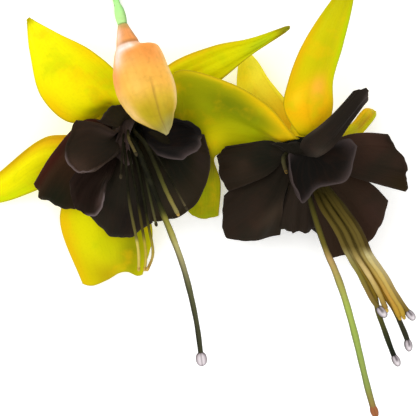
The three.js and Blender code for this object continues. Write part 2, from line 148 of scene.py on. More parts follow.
def pointed(ribs, tip):
    # brings the ribs together at a tip, which stays a little blunt
    side = unit(ribs[-1][-1] - ribs[0][-1]) * bladeForm["bluntness"]
    share = np.linspace(-1, 1, len(ribs))
    return [np.vstack([rib, np.array(tip) + side * k]) for rib, k in zip(ribs, share)]


def slopes(grid):
    along = unit(np.gradient(grid, axis=0))
    across = unit(np.gradient(grid, axis=1))
    return along, across, unit(np.cross(across, along))


def ripple(rng, u, t, waves):
    # a sum of soft waves over a blade; waves lists (height, waves across, waves along)
    total = np.zeros(np.broadcast(u, t).shape)
    for height, acrossCount, alongCount in waves:
        phase = rng.uniform(0, 2 * math.pi)
        total = total + height * np.sin(math.pi * (acrossCount * t + alongCount * u) + phase)
    return total


# colours
def colourStops(stops, u):
    places = [s[0] for s in stops]
    return np.stack([np.interp(u, places, [s[1][k] for s in stops]) for k in range(3)], axis=-1)


def downStops(stops, vertices, turns, sideShade):
    # colours by how far down the picture a point lies, with painted shade darkening the two sides
    base = colourStops([(-y, colour) for y, colour in stops], -vertices[:, 1])
    return base * (1 - sideShade * np.cos(turns)[:, None] ** 4)


def blended(first, second, share):
    return np.asarray(first, float) * (1 - share) + np.asarray(second, float) * share


def spotted(colours, along, across, spots):
    # lays soft spots over colours: (place along, place across, reach along, reach across, colour)
    for spotAlong, spotAcross, reachAlong, reachAcross, colour in spots:
        distance = ((along - spotAlong) / reachAlong) ** 2 + ((across - spotAcross) / reachAcross) ** 2
        colours = blended(colours, colour, np.exp(-distance)[..., None])
    return colours


def plain(colour, vertices):
    return np.tile(np.array(colour, float), (len(vertices), 1))


# meshes
def newPiece(name, vertices, faces, slot, nodes, colours, values=None):
    mesh = bpy.data.meshes.new(name)
    mesh.from_pydata([tuple(v) for v in toMetres(vertices)], [], faces)
    mesh.polygons.foreach_set("use_smooth", [True] * len(mesh.polygons))
    for key, numbers in (values or {}).items():
        layer = mesh.attributes.new(key, "FLOAT", "POINT")
        layer.data.foreach_set("value", np.asarray(numbers, np.float32).ravel())
    layer = mesh.attributes.new("paint", "FLOAT_COLOR", "POINT")
    linear = np.power(np.clip(np.asarray(colours, float) / 255, 0, 1), 2.2)
    four = np.hstack([linear.reshape(-1, 3), np.ones((len(vertices), 1))])
    layer.data.foreach_set("color", four.astype(np.float32).ravel())
    mesh.materials.append(finishes[slot])
    mesh.validate()
    mesh.update()
    piece = bpy.data.objects.new(name, mesh)
    bpy.context.scene.collection.objects.link(piece)
    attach(piece, "root")
    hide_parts(*nodes)


def marginDistance(grid):
    # how far each point of a blade lies from its free margin, along the blade
    rows, columns = grid.shape[0] - 1, grid.shape[1] - 1
    stepsAcross = np.linalg.norm(np.diff(grid, axis=1), axis=2)
    fromLeft = np.hstack([np.zeros((rows + 1, 1)), np.cumsum(stepsAcross, axis=1)])
    stepsAlong = np.linalg.norm(np.diff(grid, axis=0), axis=2)
    fromRoot = np.vstack([np.zeros((1, columns + 1)), np.cumsum(stepsAlong, axis=0)])
    return np.minimum(np.minimum(fromLeft, fromLeft[:, -1:] - fromLeft), fromRoot[-1:] - fromRoot)


def bladeMesh(grid, thickness):
    # closes a thin blade round the grid's middle surface, with a rounded margin
    rows, columns = grid.shape[0] - 1, grid.shape[1] - 1
    along, across, normal = slopes(grid)
    half = normal * (thickness / 2)[..., None]
    upper, lower = (grid + half).reshape(-1, 3), (grid - half).reshape(-1, 3)
    count = len(upper)
    at = lambda i, j: i * (columns + 1) + j
    faces = []
    for i in range(rows):
        for j in range(columns):
            a, b, c, d = at(i, j), at(i, j + 1), at(i + 1, j + 1), at(i + 1, j)
            faces.append((a, b, c, d))
            faces.append((d + count, c + count, b + count, a + count))
    border = [(0, j) for j in range(columns)] + [(i, columns) for i in range(rows)]
    border += [(rows, j) for j in range(columns, 0, -1)] + [(i, 0) for i in range(rows, 0, -1)]
    middle = []
    for i, j in border:
        lengthways = along[i, j] * ((i == rows) - (i == 0) * 1.0)
        sideways = across[i, j] * ((j == columns) - (j == 0) * 1.0)
        middle.append(grid[i, j] + unit(lengthways + sideways) * thickness[i, j] * bladeForm["bulge"])
    for k, (i, j) in enumerate(border):
        after = (k + 1) % len(border)
        a, b = at(i, j), at(*border[after])
        faces.append((b, a, 2 * count + k, 2 * count + after))
        faces.append((a + count, b + count, 2 * count + after, 2 * count + k))
    vertices = np.vstack([upper, lower, np.array(middle)])
    margin = tuple(np.array(border).T)
    spread = lambda values: np.concatenate([values.ravel(), values.ravel(), values[margin]])
    return vertices, faces, spread


def bandFaces(row, after, sides):
    # the faces between two rounds of points
    beside = lambda s: (s + 1) % sides
    return [(row + s, row + beside(s), after + beside(s), after + s) for s in range(sides)]


def fanFaces(hub, row, sides, flip):
    # the faces that close an end round its hub
    pairs = [(row + s, row + (s + 1) % sides) for s in range(sides)]
    return [(hub, b, a) if flip else (hub, a, b) for a, b in pairs]


def tubeMesh(points, radius, sides, stations):
    # a round closed stalk; radius(u, angle) may swell, flute or groove it
    fine = alongCurve(points, np.linspace(0, 1, 400))
    length = runningLength(fine)
    length /= length[-1]
    centre = np.stack([np.interp(stations, length, fine[:, k]) for k in range(3)], axis=1)
    tangent = unit(np.gradient(fine, axis=0))
    tangent = unit(np.stack([np.interp(stations, length, tangent[:, k]) for k in range(3)], axis=1))
    side = unit(np.cross(tangent[0], [0.02, 0.01, 1.0]))
    vertices, uValues, turns = [], [], []
    for k, u in enumerate(stations):
        side = unit(side - tangent[k] * (side @ tangent[k]))
        top = np.cross(tangent[k], side)
        for s in range(sides):
            angle = 2 * math.pi * s / sides
            r = radius(u, angle)
            vertices.append(centre[k] + side * r * math.cos(angle) + top * r * math.sin(angle))
            uValues.append(u)
            turns.append(angle)
    faces = []
    last = len(stations) - 1
    for k in range(last):
        faces += bandFaces(k * sides, (k + 1) * sides, sides)
    for row, flip in ((0, True), (last, False)):
        faces += fanFaces(len(vertices), row * sides, sides, flip)
        vertices.append(centre[row])
        uValues.append(stations[row])
        turns.append(0.0)
    return np.array(vertices), faces, np.array(uValues), np.array(turns)


def turnedMesh(profile, sides, mouth, axis, flutes=4, depth=0.0):
    # profile pairs of (radius, distance) from the mouth along the axis, fluted round it; one that ends where
    # it starts makes a ring, and any other is closed on the axis
    side = unit(np.cross(axis, [0.2, 0.1, 1.0]))
    top = np.cross(axis, side)
    ring = profile[0] == profile[-1]
    loops = profile[:-1] if ring else profile
    count = len(loops)
    vertices, faces = [], []
    for r, w in loops:
        for s in range(sides):
            angle = 2 * math.pi * s / sides
            own = r * (1 + depth * math.cos(flutes * angle))
            vertices.append(mouth + axis * w + side * own * math.cos(angle) + top * own * math.sin(angle))
    for k in range(count if ring else count - 1):
        faces += bandFaces(k * sides, (k + 1) % count * sides, sides)
    if not ring:
        for row, flip in ((0, True), (count - 1, False)):
            faces += fanFaces(len(vertices), row * sides, sides, flip)
            vertices.append(mouth + axis * loops[row][1])
    return np.array(vertices), faces


def merged(meshes):
    # joins (vertices, faces, colours) lists into one
    vertices, faces, colours, start = [], [], [], 0
    for v, f, c in meshes:
        vertices.append(v)
        colours.append(c)
        faces += [tuple(k + start for k in face) for face in f]
        start += len(v)
    return np.vstack(vertices), faces, np.vstack(colours)


# shader maths
class Wire:
    # a node's socket inside an expression
    def __init__(self, finish, socket):
        self.finish = finish
        self.socket = socket

    def __add__(self, other):
        return self.finish.maths("ADD", self, other)

    __radd__ = __add__

    def __sub__(self, other):
        return self.finish.maths("SUBTRACT", self, other)

    def __rsub__(self, other):
        return self.finish.maths("SUBTRACT", other, self)

    def __mul__(self, other):
        return self.finish.maths("MULTIPLY", self, other)

    __rmul__ = __mul__


class Finish:
    def __init__(self, name):
        self.material = bpy.data.materials.new(name)
        self.material.use_nodes = True
        self.tree = self.material.node_tree
        self.tree.nodes.clear()
        self.shader = self.tree.nodes.new("ShaderNodeBsdfPrincipled")
        output = self.tree.nodes.new("ShaderNodeOutputMaterial")
        self.tree.links.new(self.shader.outputs[0], output.inputs["Surface"])

    def feed(self, node, sockets):
        for key, value in sockets.items():
            if isinstance(value, Wire):
                self.tree.links.new(value.socket, node.inputs[key])
            elif isinstance(value, tuple) and node.inputs[key].type == "RGBA":
                node.inputs[key].default_value = (*value, 1.0)
            else:
                node.inputs[key].default_value = value

    def node(self, kind, settings, sockets, output=0):
        # settings first, then values and links
        made = self.tree.nodes.new(kind)
        for key, value in settings.items():
            setattr(made, key, value)
        self.feed(made, sockets)
        return Wire(self, made.outputs[output])

    def maths(self, operation, first, second):
        wide = any(isinstance(x, Wire) and x.socket.type != "VALUE" for x in (first, second))
        kind = "ShaderNodeVectorMath" if wide else "ShaderNodeMath"
        return self.node(kind, {"operation": operation}, {0: first, 1: second})

    def sine(self, value):
        return self.node("ShaderNodeMath", {"operation": "SINE"}, {0: value})

    def mix(self, share, first, second):
        # colours, by a share from 0 to 1
        return self.node("ShaderNodeMix", {"data_type": "RGBA"}, {0: share, 6: first, 7: second}, 2)

    def band(self, value, low, high):
        # 0 below low, 1 above high, soft between
        settings = {"interpolation_type": "SMOOTHSTEP"}
        return self.node("ShaderNodeMapRange", settings, {0: value, 1: low, 2: high, 3: 0.0, 4: 1.0})

    def attribute(self, name, output="Fac"):
        return self.node("ShaderNodeAttribute", {"attribute_name": name}, {}, output)

    def place(self):
        return self.node("ShaderNodeTexCoord", {}, {}, "Object")

    def noise(self, place, scale, detail):
        sockets = {"Vector": place, "Scale": scale, "Detail": detail, "Roughness": 0.55}
        return self.node("ShaderNodeTexNoise", {}, sockets)

    def patches(self, place, scale, detail, low, high):
        # soft patches, 0 between them and 1 inside
        return self.band(self.noise(place, scale, detail), low, high)

    def bump(self, height, distance, strength):
        return self.node("ShaderNodeBump", {}, {"Height": height, "Distance": distance, "Strength": strength})

    def done(self, sockets):
        self.feed(self.shader, sockets)
        return self.material


# A look's shares say how strongly each part of it shows.
sepalLook = {
    "warm": (0.97, 0.55, 0.002), "green": (0.45, 0.60, 0.001), "edge": (0.40, 0.31, 0.005),
    "warmShare": 0.36, "greenShare": 0.36, "veinShare": 0.07, "grainShare": 0.08, "rimShare": 0.55,
    # patches and breaks are (scale, detail, low, high)
    "warmPatches": (150.0, 4.0, 0.5, 0.72), "greenPatches": (120.0, 3.0, 0.54, 0.74),
    "veinBreaks": (90.0, 1.0, 0.35, 0.65), "veinCount": 40.0, "veinWander": 9.0, "wanderScale": 260.0,
    "grainScale": 1700.0, "swellScale": 420.0,
    "roughness": 0.55, "specular": 0.05, "bumpDepth": 0.0001, "bumpStrength": 0.4,
}


def sepalFinish():
    look = sepalLook
    f = Finish("sepal")
    place, across, along, rim = f.place(), f.attribute("across"), f.attribute("along"), f.attribute("rim")
    warm = f.patches(place, *look["warmPatches"])
    green = f.patches(place + (0.03, 0.01, 0.02), *look["greenPatches"])
    colour = f.mix(warm * look["warmShare"], f.attribute("paint", "Color"), look["warm"])
    colour = f.mix(green * look["greenShare"], colour, look["green"])
    wander = f.noise(place, look["wanderScale"], 2.0) * look["veinWander"]
    lines = f.sine(across * look["veinCount"] + wander)
    veins = f.band(lines, 0.6, 1.0) * f.band(along, 0.2, 0.5) * f.patches(place, *look["veinBreaks"])
    grain = f.noise(place, look["grainScale"], 2.0)
    colour = f.mix(veins * look["veinShare"], colour, look["edge"])
    colour = f.mix(f.band(grain, 0.45, 0.75) * look["grainShare"], colour, look["edge"])
    colour = f.mix(rim * rim * look["rimShare"], colour, look["edge"])
    height = veins * 0.5 + grain * 0.3 + f.noise(place, look["swellScale"], 3.0) * 0.8
    return f.done({
        "Base Color": colour,
        "Roughness": look["roughness"] + grain * 0.12,
        "Specular IOR Level": look["specular"],
        "Normal": f.bump(height, look["bumpDepth"], look["bumpStrength"]),
    })


petalLook = {
    # rim is the colour of the painted highlight along a petal's margin
    "rim": (0.150, 0.112, 0.108), "wine": (0.055, 0.022, 0.012), "moss": (0.010, 0.012, 0.006),
    "wineShare": 0.2, "mossShare": 0.4, "veinShare": 0.05,
    "winePatches": (110.0, 3.0, 0.5, 0.75), "mossPatches": (95.0, 2.0, 0.5, 0.72),
    "veinCount": 30.0, "veinWander": 8.0, "wanderScale": 220.0, "napScale": 2600.0, "swellScale": 500.0,
    "roughness": 0.62, "specular": 0.06, "bumpDepth": 0.00012, "bumpStrength": 0.5,
    "sheen": 0.03, "sheenRoughness": 0.4, "sheenTint": (0.85, 0.72, 0.66),
}


def petalFinish():
    look = petalLook
    f = Finish("petal")
    place, across, along, rim = f.place(), f.attribute("across"), f.attribute("along"), f.attribute("rim")
    wine = f.patches(place, *look["winePatches"])
    moss = f.patches(place + (0.02, 0.05, 0.01), *look["mossPatches"])
    colour = f.mix(wine * look["wineShare"], f.attribute("paint", "Color"), look["wine"])
    colour = f.mix(moss * look["mossShare"], colour, look["moss"])
    wander = f.noise(place, look["wanderScale"], 2.0) * look["veinWander"]
    lines = f.sine(across * look["veinCount"] + wander)
    veins = f.band(lines, 0.4, 1.0) * f.band(along, 0.2, 0.5)
    nap = f.noise(place, look["napScale"], 2.0)
    colour = f.mix(veins * look["veinShare"], colour, look["wine"])
    # the painted highlight along the rim
    colour = f.mix(f.attribute("rimLight"), colour, look["rim"])
    height = veins * 0.35 + nap * 0.3 + f.noise(place, look["swellScale"], 3.0) * 0.7
    return f.done({
        "Base Color": colour,
        "Roughness": look["roughness"] + nap * 0.15 - rim * 0.1,
        "Specular IOR Level": look["specular"],
        "Sheen Weight": look["sheen"],
        "Sheen Roughness": look["sheenRoughness"],
        "Sheen Tint": look["sheenTint"],
        "Normal": f.bump(height, look["bumpDepth"], look["bumpStrength"]),
    })


fleshLook = {
    "dark": (0.08, 0.07, 0.015), "light": (0.8, 0.75, 0.35),
    "mottle": 0.12, "pale": 0.12,  # shares of the dark grain and of the light patches
    "roughness": 0.45, "specular": 0.1, "grainScale": 1400.0, "grainDepth": 0.00008,
}


def fleshFinish(name, **changes):
    # stalks, threads, bud and stem
    look = {**fleshLook, **changes}
    f = Finish(name)
    place = f.place()
    grain = f.noise(place, look["grainScale"], 3.0)
    patches = f.noise(place, look["grainScale"] * 0.15, 2.0)
    colour = f.mix(f.band(grain, 0.4, 0.8) * look["mottle"], f.attribute("paint", "Color"), look["dark"])
    colour = f.mix(f.band(patches, 0.5, 0.8) * look["pale"], colour, look["light"])
    return f.done({
        "Base Color": colour,
        "Roughness": look["roughness"] + grain * 0.15,
        "Specular IOR Level": look["specular"],
        "Normal": f.bump(grain + patches, look["grainDepth"], 0.6),
    })


finishes = {
    "sepal": sepalFinish(),
    "petal": petalFinish(),
    "filament": fleshFinish("filament", roughness=0.6, specular=0.04, pale=0.01),
    "style": fleshFinish("style", roughness=0.55, specular=0.06, pale=0.02),
    "bud": fleshFinish("bud", specular=0.12, grainScale=700.0, grainDepth=0.0002, mottle=0.14),
    "stalk": fleshFinish("stalk"),
    "stem": fleshFinish(
        "stem", roughness=0.6, specular=0.15, grainScale=900.0, grainDepth=0.0002, mottle=0.3,
    ),
}
print("finishes made")

# Sepals and petals. A blade's ribs start on a circle round the bloom's axis, depth along it from the mouth,
# and fan out over spread radians to either side.
sepalRoot = {"circle": 2.8, "depth": -1.1, "neck": (0, 2.4), "spread": 0.72}
petalRoot = {
    "circle": 3.1, "circleStep": 0.1, "depth": 1.2, "depthStep": 0.2,  # neighbours stand a step apart
    "neck": (2.2, 0.6), "spread": 0.6,
}
bladeForm = {
    # thickness at the root and at the margin, rows and columns of the grid, and height of the rolled lip
    "sepal": {"node": "calyx", "seed": 0, "thickness": (1.0, 0.45), "grid": (84, 44), "lip": 0.2},
    "petal": {"node": "corolla", "seed": 20, "thickness": (0.7, 0.32), "grid": (76, 56), "lip": 0.45},
    "bulge": 0.45,             # of the rounded margin, as a share of the thickness
    "bluntness": 0.4,          # half the width of a tip
    "round": 0.02,             # how far the corners of an end are drawn in
    "frill": 0.14,             # height of the waves at a petal's margin
    "lipWidth": 1.6,
    "rimWidth": 0.5,           # of the margin's own colour, and by default of a petal's painted rim highlight
    "litAcross": (-1.3, 1.3),  # where a petal's rim carries its painted highlight
    "litFrom": 0.6,
}


def bladeSurface(bloom, blade, root, kind):
    # the smooth surface through a blade's ribs, with its places along (0 to 1) and across (-1 to 1)
    ribs = [np.array(rib, float) for rib in blade["ribs"]]
    if "tip" in blade:
        ribs = pointed(ribs, blade["tip"])
    ribs = rooted(bloom, ribs, {**root, "neck": blade.get("neck", root["neck"])}, blade.get("start"))
    rows, columns = bladeForm[kind]["grid"]
    dense = np.linspace(0, 1, 240)
    reach = runningLength(np.mean([alongCurve(rib, dense) for rib in ribs], axis=0))
    steps = 1 - (1 - np.linspace(0, 1, rows + 1)) ** 1.5  # rows lie closer together towards the margin
    u = np.interp(steps * reach[-1], reach, dense)
    even = np.linspace(-1, 1, columns + 1)
    t = 0.6 * np.sin(even * math.pi / 2) + 0.4 * even
    lines = np.array([alongCurve(rib, u) for rib in ribs])
    grid = np.einsum("ck,krx->rcx", acrossWeights(len(ribs), (t + 1) / 2), lines)
    for j, side in enumerate(t):
        places = u * (1 - blade.get("round", bladeForm["round"]) * abs(side) ** 5)
        grid[:, j] = np.stack([np.interp(places, u, grid[:, j, k]) for k in range(3)], axis=1)
    uu, tt = u[:, None], t[None, :]
    if "wave" in blade:
        height, count, phase = blade["wave"]
        outwards = (ribs[0][-1] + ribs[-1][-1]) / 2 - ribs[0][0]
        face = unit(np.cross(ribs[-1][-1] - ribs[0][-1], outwards))
        grid = grid + face * (height * uu**2 * np.sin(math.pi * count * tt + phase))[..., None]
    return grid, uu, tt


def petalRipples(rng, uu, tt, frill):
    # how far a petal's surface and its margin wander
    fine = uu**4 * ripple(rng, uu, tt, ((frill, 3.3, 0.6), (frill * 0.5, 6.1, 1.1)))
    folds = ((0.22, 1.6, 1.3), (0.09, 3.8, 1.9), (0.03, 9.0, 1.2), (0.015, 17.0, 2.0))
    fine = fine + uu * ripple(rng, uu, tt, folds)
    return fine, uu**8 * ripple(rng, uu, tt, ((0.2, 2.3, 0), (0.1, 5.1, 0), (0.03, 11.0, 0)))


def sepalRipples(rng, uu, tt, outSide):
    # a furrow down the middle, and soft waves
    furrow = -0.2 * np.exp(-((tt / 0.08) ** 2)) * smooth(uu * 3) * (1 - uu) * outSide
    waves = ripple(rng, uu, tt, ((0.14, 1.7, 2.1), (0.07, 3.7, 1.3), (0.02, 9.0, 0.8)))
    return furrow + waves * smooth(uu * 2)


def rimLight(blade, inwards, uu, tt):
    # a painted highlight: how pale a petal is towards its margin
    low, high = blade.get("litAcross", bladeForm["litAcross"])
    litFrom = blade.get("litFrom", bladeForm["litFrom"])
    lit = smooth((tt - low) / 0.25) * smooth((high - tt) / 0.25) * smooth((uu - litFrom) / 0.2)
    rim = np.clip(1 - inwards / blade.get("rimWidth", bladeForm["rimWidth"]), 0, 1) ** 1.5
    return rim * lit * blade["rimLight"]


def bladePiece(bloom, blade, root, kind, k):
    form = bladeForm[kind]
    rng = np.random.default_rng(bloom["seed"] + form["seed"] + k)
    grid, uu, tt = bladeSurface(bloom, blade, root, kind)
    lengthwise, _, normal = slopes(grid)
    outward = grid[-1].mean(axis=0) - bloom["mouth"]
    outward = outward - bloom["axis"] * (outward @ bloom["axis"])
    outSide = 1.0 if (normal[-6:].mean(axis=(0, 1)) @ outward) > 0 else -1.0
    inwards = marginDistance(grid)
    rolled = smooth(1 - inwards / blade.get("lipWidth", bladeForm["lipWidth"])) ** 1.5
    roll = outSide * blade.get("lip", form["lip"]) * (rolled * smooth((uu - 0.35) / 0.3))
    if kind == "petal":
        fine, edge = petalRipples(rng, uu, tt, blade.get("frill", bladeForm["frill"]))
        grid = grid + normal * (fine + roll)[..., None] + lengthwise * edge[..., None]
    else:
        grid = grid + normal * (sepalRipples(rng, uu, tt, outSide) + roll)[..., None]
    thick, thin = form["thickness"]
    body = (1 - uu) ** 0.7 * (1 - 0.6 * tt**2)
    vertices, faces, spread = bladeMesh(grid, thin + (thick - thin) * body)
    colours = spotted(np.full(grid.shape, blade["paint"], float), uu, tt, blade.get("spots", []))
    paint = np.stack([spread(colours[..., k]) for k in range(3)], axis=1)
    full = lambda values: spread(np.broadcast_to(values, inwards.shape))
    rim = np.clip(1 - inwards / bladeForm["rimWidth"], 0, 1)
    values = {"along": full(uu), "across": full(tt), "rim": full(rim)}
    if kind == "petal":
        values["rimLight"] = full(rimLight(blade, inwards, uu, tt))
    name, node = f"{bloom['name']}_{kind}_{k + 1}", f"{bloom['name']}_{form['node']}"
    newPiece(name, vertices, faces, kind, [node], paint, values)


# The blooms. A blade has ribs, each a line of points from its root outwards, and its paint. It may have:
# tip, where its ribs meet; start, the angle round the mouth where it grows; neck, its first steps along and
# out from the mouth; round, how far its corners are drawn in; wave, as (height, waves across, phase); frill,
# lip and lipWidth, for its waved and rolled margin; spots, as spotted takes them; and rimLight, rimWidth,
# litFrom and litAcross, for the painted highlight on its rim. A thread's paint is (height in the picture,
# colour), from the top down. A bloom's girth and a filament's slim scale the filaments' radius.
# A head's seam colour lies in its furrow, and as painted shade along its sides and at its ends.
whitish = {"size": 1.0, "skin": (246, 236, 240), "seam": (40, 33, 36)}
golden = {"size": 0.42, "skin": (214, 180, 92), "seam": (150, 116, 50)}
dusky = {"size": 0.42, "skin": (70, 62, 46), "seam": (40, 36, 28)}
litThread = [(4, (54, 47, 21)), (0.7, (74, 63, 27)), (-5.3, (97, 83, 39)), (-9.3, (104, 89, 45))]
greenStalk = [(0, (120, 150, 70)), (0.6, (132, 176, 92)), (1, (150, 214, 110))]

